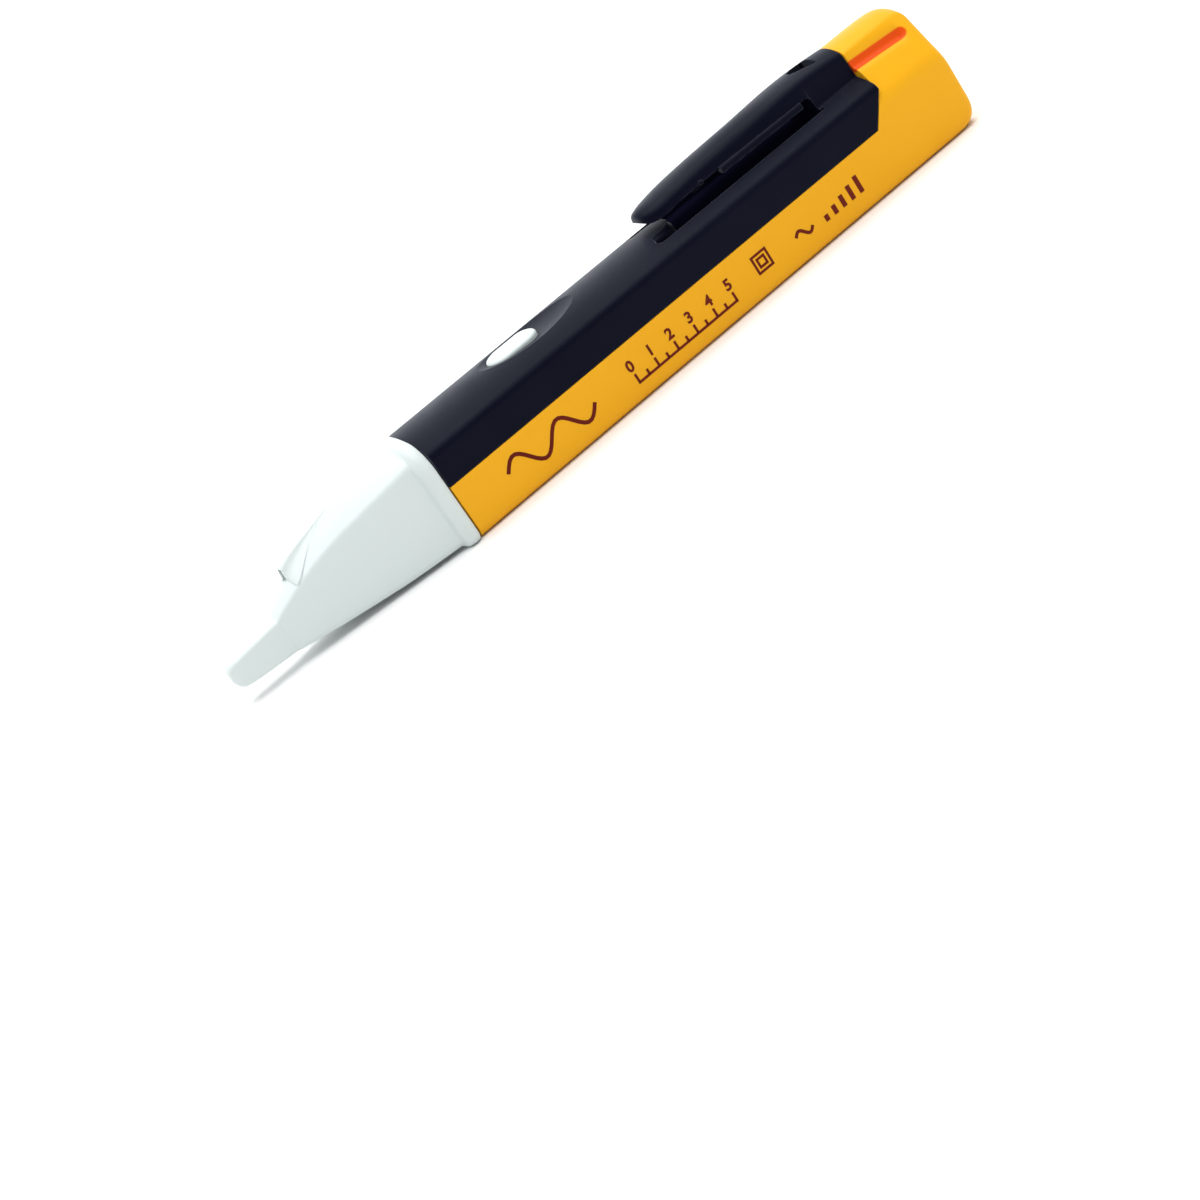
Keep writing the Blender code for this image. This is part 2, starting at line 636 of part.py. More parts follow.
def make_board_parts():
    """What the board carries: a sounder under its front, and the chips and small parts on top."""
    black = material("switch_black", (0.02, 0.02, 0.02), 0.5)
    ceramic = material("chip_ceramic", (0.55, 0.42, 0.28), 0.6)
    amber = material("capacitor_amber", (0.70, 0.40, 0.05), 0.5)
    top = BOARD_Z - GAP
    low = top - BUZZER_HEIGHT
    profile = ((low, BUZZER_RADIUS - 0.3 * MM), (low + 0.4 * MM, BUZZER_RADIUS), (top, BUZZER_RADIUS))
    rod_z("buzzer", profile, BUZZER_CENTRE, 0.0, black)
    base = BOARD_TOP_Z + 0.1 * MM
    placed = (
        # name, station, y, half length, half width, height, all in millimetres
        ("control_chip", 54.5, 0.0, 4.3, 1.95, 1.4, black),
        ("signal_transistor", 51.0, 4.6, 1.45, 0.65, 1.0, black),
        ("capacitor_1", 76.5, 2.6, 1.6, 0.8, 1.4, amber),
        ("capacitor_2", 76.5, -2.6, 1.6, 0.8, 1.4, amber),
        ("resistor_1", 55.0, 4.6, 1.0, 0.62, 0.5, ceramic),
        ("resistor_2", 58.5, 4.6, 1.0, 0.62, 0.5, ceramic),
        ("resistor_3", 55.0, -4.6, 1.0, 0.62, 0.5, ceramic),
        ("resistor_4", 58.5, -4.6, 1.0, 0.62, 0.5, ceramic),
    )
    for name, station, y, half_length, half_width, height, look in placed:
        span = ((station - half_length) * MM, (station + half_length) * MM)
        block(name, span, half_width * MM, (base, base + height * MM), look, y * MM)


def make_tray():
    """Cradle that holds both batteries end to end, open underneath, with a channel for the return strip."""
    look = dark_plastic()
    tray = block("battery_tray", (TRAY_START, TRAY_END), TRAY_HALF_WIDTH, (TRAY_LOW_Z, TRAY_TOP_Z), look)
    room = (TRAY_START + TRAY_WALL, TRAY_END - TRAY_WALL)
    cut(tray, block("battery_tray_room", room, BATTERY_RADIUS + GAP, (0.0, TRAY_ROOF_Z), look))
    deck = (TRAY_START - PAST, BOARD_END + 1 * MM)
    cut(tray, block("battery_tray_deck", deck, HALF_WIDTH, (TRAY_ROOF_Z, TRAY_TOP_Z + PAST), look))
    channel = (BOARD_END, TRAY_END - TRAY_WALL)
    heights = (STRIP_Z - 0.2 * MM, TRAY_TOP_Z + PAST)
    cut(tray, block("battery_tray_channel", channel, CHANNEL_HALF_WIDTH, heights, look))


def make_batteries():
    look = material("battery_jacket", (0.10, 0.22, 0.50), 0.3)
    for name, front in (("battery_front", BATTERY_FRONT), ("battery_rear", BATTERY_REAR)):
        can = front + NUB_LENGTH
        profile = (
            (front, NUB_RADIUS),
            (can, NUB_RADIUS),
            (can, BATTERY_RADIUS - 0.5 * MM),
            (can + 0.4 * MM, BATTERY_RADIUS),
            (front + BATTERY_LENGTH - 0.3 * MM, BATTERY_RADIUS),
            (front + BATTERY_LENGTH, BATTERY_RADIUS - 0.4 * MM),
        )
        rod_x(name, profile, 0.0, BATTERY_Z, look, 28)


def make_contacts():
    """Front contact, rear contact plate, its coil spring, and the strip that carries the return forward."""
    steel = material("contact_steel", (0.62, 0.62, 0.60), 0.3, 1.0)
    front = BATTERY_FRONT - GAP - CONTACT_THICKNESS
    heights = (CONTACT_LOW_Z, TRAY_ROOF_Z - 0.2 * MM)
    block("front_contact", (front, front + CONTACT_THICKNESS), 3.0 * MM, heights, steel)
    rear = TRAY_END - TRAY_WALL - GAP - CONTACT_THICKNESS
    block("rear_contact", (rear, rear + CONTACT_THICKNESS), 4.0 * MM, heights, steel)
    strip = (BOARD_END + GAP, TRAY_END - TRAY_WALL - GAP)
    block("return_strip", strip, CHANNEL_HALF_WIDTH - GAP, (STRIP_Z, STRIP_Z + 0.3 * MM), steel)
    start = BATTERY_REAR + BATTERY_LENGTH + GAP + SPRING_WIRE
    end = rear - GAP - SPRING_WIRE
    curve = bpy.data.curves.new("contact_spring", "CURVE")
    curve.dimensions = "3D"
    curve.bevel_depth = SPRING_WIRE
    curve.bevel_resolution = 1
    curve.use_fill_caps = True
    steps = SPRING_TURNS * 14
    spline = curve.splines.new("POLY")
    spline.points.add(steps)
    for i, point in enumerate(spline.points):
        angle = 2 * math.pi * SPRING_TURNS * i / steps
        radius = SPRING_RADIUS * (0.75 + 0.5 * i / steps)
        y = radius * math.cos(angle)
        z = BATTERY_Z + radius * math.sin(angle)
        point.co = (at(start + (end - start) * i / steps), y, z, 1.0)
    curve.materials.append(steel)
    bpy.context.scene.collection.objects.link(bpy.data.objects.new("contact_spring", curve))


def main():
    clear_scene()
    make_upper_case()
    make_battery_cover()
    make_nose_cone()
    make_pocket_clip()
    make_power_button()
    make_board()
    make_switch()
    make_led()
    make_antenna()
    make_board_parts()
    make_tray()
    make_batteries()
    make_contacts()


main()
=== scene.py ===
"""Looks for the non contact voltage tester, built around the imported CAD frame.

Metres, +Z up, +X to the rear. Stations and sizes are written in millimetres."""

import json
import math

import bmesh
import bpy
from mathutils import Matrix, Vector


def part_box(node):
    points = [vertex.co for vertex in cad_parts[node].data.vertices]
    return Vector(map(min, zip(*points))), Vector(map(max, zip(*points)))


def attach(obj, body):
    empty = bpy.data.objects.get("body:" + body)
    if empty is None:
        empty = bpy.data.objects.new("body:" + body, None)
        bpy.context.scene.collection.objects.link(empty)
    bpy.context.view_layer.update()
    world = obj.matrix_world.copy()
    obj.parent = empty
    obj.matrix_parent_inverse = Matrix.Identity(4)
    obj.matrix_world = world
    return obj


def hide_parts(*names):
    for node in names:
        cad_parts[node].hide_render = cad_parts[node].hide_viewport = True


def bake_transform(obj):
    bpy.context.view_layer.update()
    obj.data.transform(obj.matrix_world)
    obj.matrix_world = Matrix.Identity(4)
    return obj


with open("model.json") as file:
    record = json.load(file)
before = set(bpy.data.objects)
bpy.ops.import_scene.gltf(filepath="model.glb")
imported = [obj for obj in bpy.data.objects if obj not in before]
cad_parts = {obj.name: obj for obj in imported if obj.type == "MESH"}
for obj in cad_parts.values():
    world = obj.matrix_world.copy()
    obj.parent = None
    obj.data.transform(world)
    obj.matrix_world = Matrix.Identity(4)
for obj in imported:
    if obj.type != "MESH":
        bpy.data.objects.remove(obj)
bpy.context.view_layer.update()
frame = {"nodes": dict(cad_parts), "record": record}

MM = 0.001

# Frame measures, in millimetres. Stations run along the pen from the sensing tip.
TIP_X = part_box("nose_cone")[0].x


def at(station):
    """The X coordinate, in metres, of a distance in millimetres from the sensing tip."""
    return TIP_X + station * MM


def station_of(x):
    """The distance in millimetres from the sensing tip of an X coordinate in metres."""
    return (x - TIP_X) / MM


COVER_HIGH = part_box("battery_cover")[1]
CASE_LOW, CASE_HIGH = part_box("upper_case")
LENGTH = station_of(COVER_HIGH.x)
HALF_WIDTH = COVER_HIGH.y / MM
CASE_START = station_of(CASE_LOW.x)
CASE_END = station_of(CASE_HIGH.x)
SEAM_Z = 9.7
EDGE_Z = 16.3
CREST_Z = 18.0
CORNER_LOW = 1.6
CORNER_HIGH = 1.7
WALL = 1.4
BEYOND = 12  # past the pen on either side, for cutters
SMOOTH_ANGLE = 30
CUT_ANGLE = 6
BODY_STEPS = 40


def ease(share):
    """A soft step from 0 to 1, level at both ends."""
    share = min(1.0, max(0.0, share))
    return share * share * (3 - 2 * share)


# ---------------------------------------------------------------- materials

WEAR_RADIUS = 0.35 * MM
EDGE_RADIUS = 0.18 * MM


def new_material(name):
    made = bpy.data.materials.new(name)
    made.use_nodes = True
    tree = made.node_tree
    return made, tree, tree.nodes["Principled BSDF"]


def add(tree, kind, **settings):
    node = tree.nodes.new(kind)
    for key, value in settings.items():
        setattr(node, key, value)
    return node


def noise(tree, coords, scale, detail=2.0, rough=0.5):
    node = add(tree, "ShaderNodeTexNoise")
    node.inputs["Scale"].default_value = scale
    node.inputs["Detail"].default_value = detail
    node.inputs["Roughness"].default_value = rough
    tree.links.new(coords, node.inputs["Vector"])
    return node.outputs["Fac"]


def spread(tree, source, low, high, to_low, to_high):
    node = add(tree, "ShaderNodeMapRange")
    for key, value in zip(("From Min", "From Max", "To Min", "To Max"), (low, high, to_low, to_high)):
        node.inputs[key].default_value = value
    tree.links.new(source, node.inputs["Value"])
    return node.outputs["Result"]


def mix_colour(tree, factor, first, second):
    node = add(tree, "ShaderNodeMix", data_type="RGBA")
    for key, value in ((6, first), (7, second)):
        if isinstance(value, tuple):
            node.inputs[key].default_value = (*value, 1.0)
        else:
            tree.links.new(value, node.inputs[key])
    tree.links.new(factor, node.inputs[0])
    return node.outputs[2]


def maths(tree, operation, *values):
    node = add(tree, "ShaderNodeMath", operation=operation)
    for key, value in enumerate(values):
        if isinstance(value, (int, float)):
            node.inputs[key].default_value = value
        else:
            tree.links.new(value, node.inputs[key])
    return node.outputs[0]


def vector_maths(tree, operation, *values, scale=None):
    node = add(tree, "ShaderNodeVectorMath", operation=operation)
    for key, value in enumerate(values):
        if isinstance(value, (tuple, Vector)):
            node.inputs[key].default_value = value
        else:
            tree.links.new(value, node.inputs[key])
    if scale is not None:
        tree.links.new(scale, node.inputs["Scale"])
    return node.outputs["Value" if operation in ("DOT_PRODUCT", "LENGTH") else "Vector"]


def relief(tree, shader, height, strength, distance):
    """Bumps from a height, on the shader's normal."""
    bump = add(tree, "ShaderNodeBump")
    bump.inputs["Strength"].default_value = strength
    bump.inputs["Distance"].default_value = distance
    tree.links.new(height, bump.inputs["Height"])
    tree.links.new(bump.outputs["Normal"], shader.inputs["Normal"])
    return bump


def edge_wear(tree):
    """1 along edges and 0 on flats: how far a rounded normal turns from the true one."""
    bevel = add(tree, "ShaderNodeBevel", samples=4)
    bevel.inputs["Radius"].default_value = WEAR_RADIUS
    geometry = add(tree, "ShaderNodeNewGeometry")
    dot = vector_maths(tree, "DOT_PRODUCT", bevel.outputs["Normal"], geometry.outputs["Normal"])
    return spread(tree, dot, 0.995, 0.9, 0.0, 1.0)


def near_line(tree, coords, start, end, radius):
    """1 within a radius of a line on either side of the pen, and 0 outside it, with a soft rim."""
    parts = add(tree, "ShaderNodeSeparateXYZ")
    tree.links.new(coords, parts.inputs[0])
    folded = add(tree, "ShaderNodeCombineXYZ")
    tree.links.new(parts.outputs[0], folded.inputs[0])
    tree.links.new(maths(tree, "ABSOLUTE", parts.outputs[1]), folded.inputs[1])
    tree.links.new(parts.outputs[2], folded.inputs[2])
    along = Vector(end) - Vector(start)
    offset = vector_maths(tree, "SUBTRACT", folded.outputs[0], Vector(start))
    share = vector_maths(tree, "DOT_PRODUCT", offset, along / along.length_squared)
    share = spread(tree, share, 0.0, 1.0, 0.0, 1.0)
    run = vector_maths(tree, "SCALE", along, scale=share)
    distance = vector_maths(tree, "LENGTH", vector_maths(tree, "SUBTRACT", offset, run))
    return spread(tree, distance, radius * 1.12, radius * 0.88, 0.0, 1.0)


def plastic(
    name, colour, tint, rough, grain=0.02, grain_size=9000, wear=None, marks=0.055, stripe=None, **sockets
):
    """Moulded plastic: a faint colour drift, a fine spark-eroded grain and handling marks.

    It can have rubbed edges, and a stripe of another colour along a line."""
    made, tree, shader = new_material(name)
    coords = add(tree, "ShaderNodeTexCoord").outputs["Object"]
    drift = spread(tree, noise(tree, coords, 60, 3), 0.35, 0.65, 0.0, 1.0)
    base = mix_colour(tree, drift, colour, tint)
    if stripe:
        base = mix_colour(tree, near_line(tree, coords, *stripe[:3]), base, stripe[3])
    if wear:
        broken = spread(tree, noise(tree, coords, 500, 4), 0.4, 0.62, 0.0, 0.8)
        base = mix_colour(tree, maths(tree, "MULTIPLY", edge_wear(tree), broken), base, wear)
    tree.links.new(base, shader.inputs["Base Color"])
    rubs = noise(tree, coords, 220, 5, 0.6)
    tree.links.new(spread(tree, rubs, 0.3, 0.7, rough - marks, rough + marks), shader.inputs["Roughness"])
    bump = relief(tree, shader, noise(tree, coords, grain_size, 2), grain * 10, 0.04 * MM)
    rounded = add(tree, "ShaderNodeBevel", samples=4)
    rounded.inputs["Radius"].default_value = EDGE_RADIUS
    tree.links.new(rounded.outputs["Normal"], bump.inputs["Normal"])
    for key, value in sockets.items():
        shader.inputs[key.replace("_", " ")].default_value = value
    return made


GROOVE_START, GROOVE_STOP = 136.5, 148.6
GROOVE_SHARE = (0.22, 0.33)
GROOVE_WIDTH = 0.16
GROOVE_DEPTH = (0.5, 0.72)
# The (y, z) ends, low and high, of the cap's leaning side
CAP_LEAN = ((8.99, 14.58), (4.61, 21.48))
STRIPE_RADIUS = 1.1 * MM


def groove_share(station):
    """How far down the cap's leaning side the groove runs at a station."""
    low, high = GROOVE_SHARE
    share = (station - GROOVE_START) / (GROOVE_STOP - GROOVE_START)
    return low + (high - low) * min(1.0, max(0.0, share))


def groove_point(station):
    """The floor of the groove beside the hump, as a point in metres."""
    share = groove_share(station)
    (low_y, low_z), (high_y, high_z) = CAP_LEAN
    y = high_y + (low_y - high_y) * share - GROOVE_DEPTH[0]
    z = high_z + (low_z - high_z) * share - GROOVE_DEPTH[1]
    return (at(station), y * MM, z * MM)


DARK = plastic(
    "dark_plastic_look",
    (0.0016, 0.0019, 0.0085),
    (0.0026, 0.0030, 0.0108),
    0.40,
    grain=0.035,
    grain_size=7000,
    wear=(0.02, 0.02, 0.03),
    Specular_IOR_Level=0.05,
    Specular_Tint=(0.80, 0.87, 1.0, 1.0),
    Sheen_Weight=0.26,
    Sheen_Roughness=0.4,
    Sheen_Tint=(0.72, 0.84, 1.0, 1.0),
)
# Painted shade: a rough copy of the dark plastic without sheen or reflection, so the recess under the
# clip and the arm's root read as shaded.
RECESS_SHADE = plastic(
    "recess_look",
    (0.0050, 0.0050, 0.0165),
    (0.0062, 0.0062, 0.0195),
    0.75,
    grain=0.05,
    grain_size=7000,
    Specular_IOR_Level=0.0,
    Specular_Tint=(0.3, 0.32, 0.4, 1.0),
)
ORANGE = (0.76, 0.078, 0.004)
YELLOW = plastic(
    "yellow_plastic_look",
    (0.875, 0.425, 0.0105),
    (0.86, 0.412, 0.0098),
    0.36,
    grain=0.012,
    marks=0.03,
    stripe=(groove_point(GROOVE_START), groove_point(GROOVE_STOP), STRIPE_RADIUS, ORANGE),
    Specular_IOR_Level=0.12,
)
WHITE = plastic(
    "white_plastic_look",
    (0.67, 0.742, 0.73),
    (0.665, 0.738, 0.726),
    0.33,
    grain=0.008,
    marks=0.015,
    Specular_IOR_Level=0.25,
)
INK = plastic("ink_look", (0.125, 0.009, 0.004), (0.15, 0.014, 0.006), 0.5, Specular_IOR_Level=0.1)


def metal(name, colour, tint, rough, stretch):
    """Plated or drawn metal: fine scratches, drawn out along one way, and a slight tarnish."""
    made, tree, shader = new_material(name)
    coords = add(tree, "ShaderNodeTexCoord").outputs["Object"]
    scaled = vector_maths(tree, "MULTIPLY", coords, stretch)
    tarnish = spread(tree, noise(tree, coords, 300, 4), 0.4, 0.7, 0.0, 1.0)
    tree.links.new(mix_colour(tree, tarnish, colour, tint), shader.inputs["Base Color"])
    scratches = noise(tree, scaled, 4000, 3, 0.6)
    roughness = spread(tree, scratches, 0.3, 0.7, rough - 0.08, rough + 0.12)
    tree.links.new(roughness, shader.inputs["Roughness"])
    relief(tree, shader, scratches, 0.2, 0.02 * MM)
    shader.inputs["Metallic"].default_value = 1.0
    return made


def board_look():
    """Green solder mask with lighter tracks under it and tinned pads."""
    made, tree, shader = new_material("board_look")
    coords = add(tree, "ShaderNodeTexCoord").outputs["Object"]
    tracks = add(tree, "ShaderNodeTexBrick")
    for key, value in (("Scale", 420.0), ("Mortar Size", 0.06), ("Mortar Smooth", 0.2), ("Bias", 0.0)):
        tracks.inputs[key].default_value = value
    tree.links.new(coords, tracks.inputs["Vector"])
    base = mix_colour(tree, tracks.outputs["Fac"], (0.008, 0.13, 0.05), (0.02, 0.24, 0.09))
    pads = add(tree, "ShaderNodeTexVoronoi")
    pads.inputs["Scale"].default_value = 320.0
    tree.links.new(coords, pads.inputs["Vector"])
    tinned = spread(tree, pads.outputs["Distance"], 0.16, 0.12, 0.0, 1.0)
    base = mix_colour(tree, tinned, base, (0.62, 0.6, 0.52))
    tree.links.new(base, shader.inputs["Base Color"])
    weave = noise(tree, coords, 2600, 2)
    tree.links.new(spread(tree, weave, 0.3, 0.7, 0.28, 0.45), shader.inputs["Roughness"])
    relief(tree, shader, tracks.outputs["Fac"], 0.3, 0.03 * MM)
    return made


def jacket_look(node):
    """A battery's sleeve: blue, with a pale band and bare metal at the end that has the nub."""
    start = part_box(node)[0].x
    made = plastic(f"{node}_look", (0.02, 0.07, 0.26), (0.025, 0.085, 0.3), 0.28, grain=0.01, marks=0.05)
    tree = made.node_tree
    shader = tree.nodes["Principled BSDF"]
    parts = add(tree, "ShaderNodeSeparateXYZ")
    tree.links.new(add(tree, "ShaderNodeTexCoord").outputs["Object"], parts.inputs[0])
    band = spread(tree, parts.outputs[0], start + 11.0 * MM, start + 10.8 * MM, 0.0, 1.0)
    end = spread(tree, parts.outputs[0], start + 1.4 * MM, start + 1.3 * MM, 0.0, 1.0)
    sleeve = shader.inputs["Base Color"].links[0].from_socket
    striped = mix_colour(tree, band, sleeve, (0.75, 0.74, 0.7))
    tree.links.new(mix_colour(tree, end, striped, (0.6, 0.6, 0.58)), shader.inputs["Base Color"])
    tree.links.new(end, shader.inputs["Metallic"])
    return made


def dress_internals():
    """The looks of the CAD nodes that stay as they are, by the record's material slot."""
    black = ((0.018, 0.018, 0.019), (0.026, 0.026, 0.027))
    steel = ((0.62, 0.62, 0.60), (0.52, 0.51, 0.48))
    brass = ((0.72, 0.48, 0.18), (0.55, 0.34, 0.13))
    red = ((0.62, 0.012, 0.010), (0.75, 0.03, 0.02))
    tan = ((0.55, 0.42, 0.28), (0.48, 0.36, 0.24))
    amber = ((0.68, 0.36, 0.04), (0.6, 0.3, 0.03))
    looks = {
        "dark_plastic": DARK,
        "yellow_plastic": YELLOW,
        "white_plastic": WHITE,
        "black_component": plastic("black_component_look", *black, 0.42, grain=0.05),
        "contact_steel": metal("steel_look", *steel, 0.3, stretch=(0.15, 1.0, 1.0)),
        "antenna_brass": metal("brass_look", *brass, 0.32, stretch=(0.2, 1.0, 1.0)),
        "board_green": board_look(),
        "led_red": plastic("led_look", *red, 0.12, grain=0.004, Coat_Weight=0.6),
        "chip_ceramic": plastic("ceramic_look", *tan, 0.55, grain=0.04, grain_size=14000),
        "capacitor_amber": plastic("capacitor_look", *amber, 0.4),
    }
    slots = {row["node"]: row["material_slot"] for row in frame["record"]["subparts"]}
    for name, node in frame["nodes"].items():
        look = jacket_look(name) if slots[name] == "battery_jacket" else looks[slots[name]]
        node.data.materials.clear()
        node.data.materials.append(look)


dress_internals()

# ---------------------------------------------------------------- mesh helpers


def make_object(name, points, faces, look):
    mesh = bpy.data.meshes.new(name)
    mesh.from_pydata([tuple(p) for p in points], [], faces)
    work = bmesh.new()
    work.from_mesh(mesh)
    bmesh.ops.recalc_face_normals(work, faces=work.faces)
    work.to_mesh(mesh)
    work.free()
    mesh.shade_smooth()
    mesh.set_sharp_from_angle(angle=math.radians(SMOOTH_ANGLE))
    mesh.materials.append(look)
    obj = bpy.data.objects.new(name, mesh)
    bpy.context.scene.collection.objects.link(obj)
    return obj


def loft(name, rings, look):
    """A closed body through rings of equally many points, with a flat face at each end."""
    count = len(rings[0])
    points = [point for ring in rings for point in ring]
    faces = [tuple(range(count))]
    for row in range(len(rings) - 1):
        near, far = row * count, (row + 1) * count
        for i in range(count):
            j = (i + 1) % count
            faces.append((near + i, near + j, far + j, far + i))
    faces.append(tuple(range((len(rings) - 1) * count, len(rings) * count)))
    return make_object(name, points, faces, look)


def ring_x(station, outline):
    """An outline of (y, z) points in millimetres, placed across the pen at a station."""
    return [Vector((at(station), y * MM, z * MM)) for y, z in outline]


def ring_z(height, outline):
    """An outline of (station, y) points in millimetres, placed level at a height."""
    return [Vector((at(s), y * MM, height * MM)) for s, y in outline]


def block(name, stations, ys, heights):
    """A box shaped cutter or body between two stations."""
    outline = [(ys[0], heights[0]), (ys[1], heights[0]), (ys[1], heights[1]), (ys[0], heights[1])]
    return loft(name, [ring_x(station, outline) for station in stations], DARK)


def prism_y(name, outline, half_width):
    """An outline of (station, z) points in millimetres, drawn out across the pen."""
    rings = [[Vector((at(s), y * MM, z * MM)) for s, z in outline] for y in (-half_width, half_width)]
    return loft(name, rings, DARK)


def arc(centre, radius, start, end, steps):
    """Points on an arc, angles in degrees, both ends included."""
    turn = [math.radians(start + (end - start) * i / steps) for i in range(steps + 1)]
    return [(centre[0] + radius * math.cos(a), centre[1] + radius * math.sin(a)) for a in turn]


def between(first, second, steps):
    """The points strictly between two points."""
    shares = [i / steps for i in range(1, steps)]
    return [tuple(a + (b - a) * t for a, b in zip(first, second)) for t in shares]


def mirrored(right):
    """A closed outline from its right half, which runs from the bottom centre to the top centre."""
    return right + [(-y, z) for y, z in reversed(right[1:-1])]


def crown(half_width, edge_z, crest_z, corner):
    """A corner arc that runs without a kink into the curved top, ending at the middle."""
    steps = 10
    turn = 0.3  # a first guess in radians, which the loop closes in on
    for _ in range(12):
        y = half_width - corner + corner * math.sin(turn)
        z = edge_z - corner + corner * math.cos(turn)
        turn = math.atan(2 * (crest_z - z) / y)
    points = arc((half_width - corner, edge_z - corner), corner, 0, 90 - math.degrees(turn), steps)
    y, z = points[-1]
    for i in range(1, steps + 1):
        share = 1 - i / steps
        points.append((y * share, crest_z - (crest_z - z) * share**2))
    return points


def body_section(half_width, low_z, edge_z, crest_z, low_corner, high_corner):
    """The pen's section: a flat underside, upright sides and a curved top, with rounded corners."""
    right = [(0.0, low_z)] + arc((half_width - low_corner, low_z + low_corner), low_corner, -90, 0, 8)
    top = crown(half_width, edge_z, crest_z, high_corner)
    right += between(right[-1], top[0], 4)
    return mirrored(right + top)


def stadium(centre, half_length, half_width, steps=16):
    """A pill outline along the pen, as (station, y) points."""
    reach = max(half_length - half_width, 0.0)
    points = arc((centre + reach, 0.0), half_width, -90, 90, steps)
    return points + arc((centre - reach, 0.0), half_width, 90, 270, steps)


def smooth_rows(table, step):
    """Rows at about this spacing on one monotone cubic through the rows of a table."""
    rows = []
    for k in range(len(table) - 1):
        before = table[max(k - 1, 0)]
        first, second = table[k], table[k + 1]
        after = table[min(k + 2, len(table) - 1)]
        span = second[0] - first[0]
        count = max(1, round(span / step))
        for i in range(count):
            t = i / count
            row = [first[0] + span * t]
            for a, b, c, d in zip(before[1:], first[1:], second[1:], after[1:]):
                slope_b = tangent(a, b, c, first[0] - before[0], span)
                slope_c = tangent(b, c, d, span, after[0] - second[0])
                row.append(hermite(b, c, slope_b * span, slope_c * span, t))
            rows.append(row)
    rows.append(list(table[-1]))
    return rows


def tangent(low, mid, high, before, after):
    """The slope at the middle value that keeps the curve monotone; a span of 0 marks an end."""
    if before <= 0 or after <= 0:
        return (high - mid) / after if before <= 0 else (mid - low) / before
    first, second = (mid - low) / before, (high - mid) / after
    if first * second <= 0:
        return 0.0
    return 2 * first * second / (first + second)


def hermite(start, end, slope_start, slope_end, t):
    square, cube = t * t, t * t * t
    value = (2 * cube - 3 * square + 1) * start + (cube - 2 * square + t) * slope_start
    return value + (3 * square - 2 * cube) * end + (cube - square) * slope_end


def apply_booleans(target, changes):
    """Unions and cuts, then creases along every edge where a cut meets the old surface."""
    target.data.materials.append(target.data.materials[0])
    for operation, other in changes:
        other.data.materials.clear()
        other.data.materials.append(target.data.materials[0])
        other.data.materials.append(target.data.materials[0])
        other.data.polygons.foreach_set("material_index", [1] * len(other.data.polygons))
        modifier = target.modifiers.new(other.name, "BOOLEAN")
        modifier.operation = operation
        modifier.solver = "EXACT"
        modifier.object = other
    graph = bpy.context.evaluated_depsgraph_get()
    mesh = bpy.data.meshes.new_from_object(target.evaluated_get(graph))
    target.modifiers.clear()
    target.data = mesh
    for _, other in changes:
        bpy.data.objects.remove(other, do_unlink=True)
    clean_mesh(target)


def clean_mesh(target):
    """Merges stray points and sets the creases; faces from a cut, in slot 1, go back to slot 0."""
    mesh = target.data
    work = bmesh.new()
    work.from_mesh(mesh)
    bmesh.ops.remove_doubles(work, verts=work.verts, dist=2e-6)
    bmesh.ops.dissolve_degenerate(work, dist=1e-6, edges=work.edges)
    bmesh.ops.recalc_face_normals(work, faces=work.faces)
    for edge in work.edges:
        if len(edge.link_faces) != 2:
            continue
        near, far = edge.link_faces
        kinds = near.material_index != far.material_index
        turn = edge.calc_face_angle(0.0)
        cut_edge = kinds and turn > math.radians(CUT_ANGLE)
        edge.smooth = turn < math.radians(SMOOTH_ANGLE) and not cut_edge
    for face in work.faces:
        face.smooth = True
        face.material_index = 0
    work.to_mesh(mesh)
    work.free()
    while len(mesh.materials) > 1:
        mesh.materials.pop(index=len(mesh.materials) - 1)


def crease_at(obj, stations):
    """Sharp edges along the sections at these stations."""
    places = [at(station) for station in stations]
    points = obj.data.vertices
    for edge in obj.data.edges:
        ends = [points[i].co.x for i in edge.vertices]
        if any(max(abs(x - place) for x in ends) < 5e-6 for place in places):
            edge.use_edge_sharp = True


def roof(half, top, corner, crown_rise, start):
    """A shoulder arc from a start angle, which runs without a kink into a shallow crown."""
    turn = math.degrees(math.atan(2 * crown_rise / half))
    points = arc((half - corner, top - corner), corner, start, 90 - turn, 9)
    y, z = points[-1]
    steps = 8
    for i in range(1, steps + 1):
        share = 1 - i / steps
        points.append((y * share, z + crown_rise * (1 - share**2)))
    return points


def finish_piece(obj, body, slot, *nodes):
    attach(obj, body)
    if nodes:
        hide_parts(*nodes)


# ---------------------------------------------------------------- nose

BLADE = (
    # station, half width, underside, top edge, crest, lower corner, upper corner
    (0.0, 0.75, 4.25, 6.2, 6.3, 0.35, 0.35),
    (0.15, 1.05, 3.9, 6.6, 6.7, 0.5, 0.5),
    (0.5, 1.5, 3.4, 7.15, 7.25, 0.65, 0.6),
    (1.1, 1.8, 3.05, 7.45, 7.6, 0.7, 0.6),
    (2.2, 1.95, 2.9, 7.65, 7.85, 0.7, 0.6),
    (10.6, 2.2, 2.35, 8.45, 8.7, 0.7, 0.6),
)
CONE = (
    (10.6, 2.2, 2.35, 8.45, 8.7, 0.7, 0.6),
    (11.3, 2.5, 2.25, 8.95, 9.3, 0.75, 0.65),
    (13.0, 3.05, 2.05, 9.95, 10.5, 0.9, 0.8),
    (16.0, 3.8, 1.75, 11.35, 12.2, 1.1, 0.95),
    (20.5, 4.75, 1.3, 13.05, 14.6, 1.2, 1.05),
    (25.0, 5.75, 0.95, 14.25, 16.35, 1.3, 1.2),
    (30.0, 6.95, 0.7, 15.25, 17.75, 1.3, 1.35),
    (35.0, 8.05, 0.6, 16.15, 18.5, 1.3, 1.5),
    (39.4, 9.05, 0.6, 16.95, 18.9, 1.3, 1.6),
)
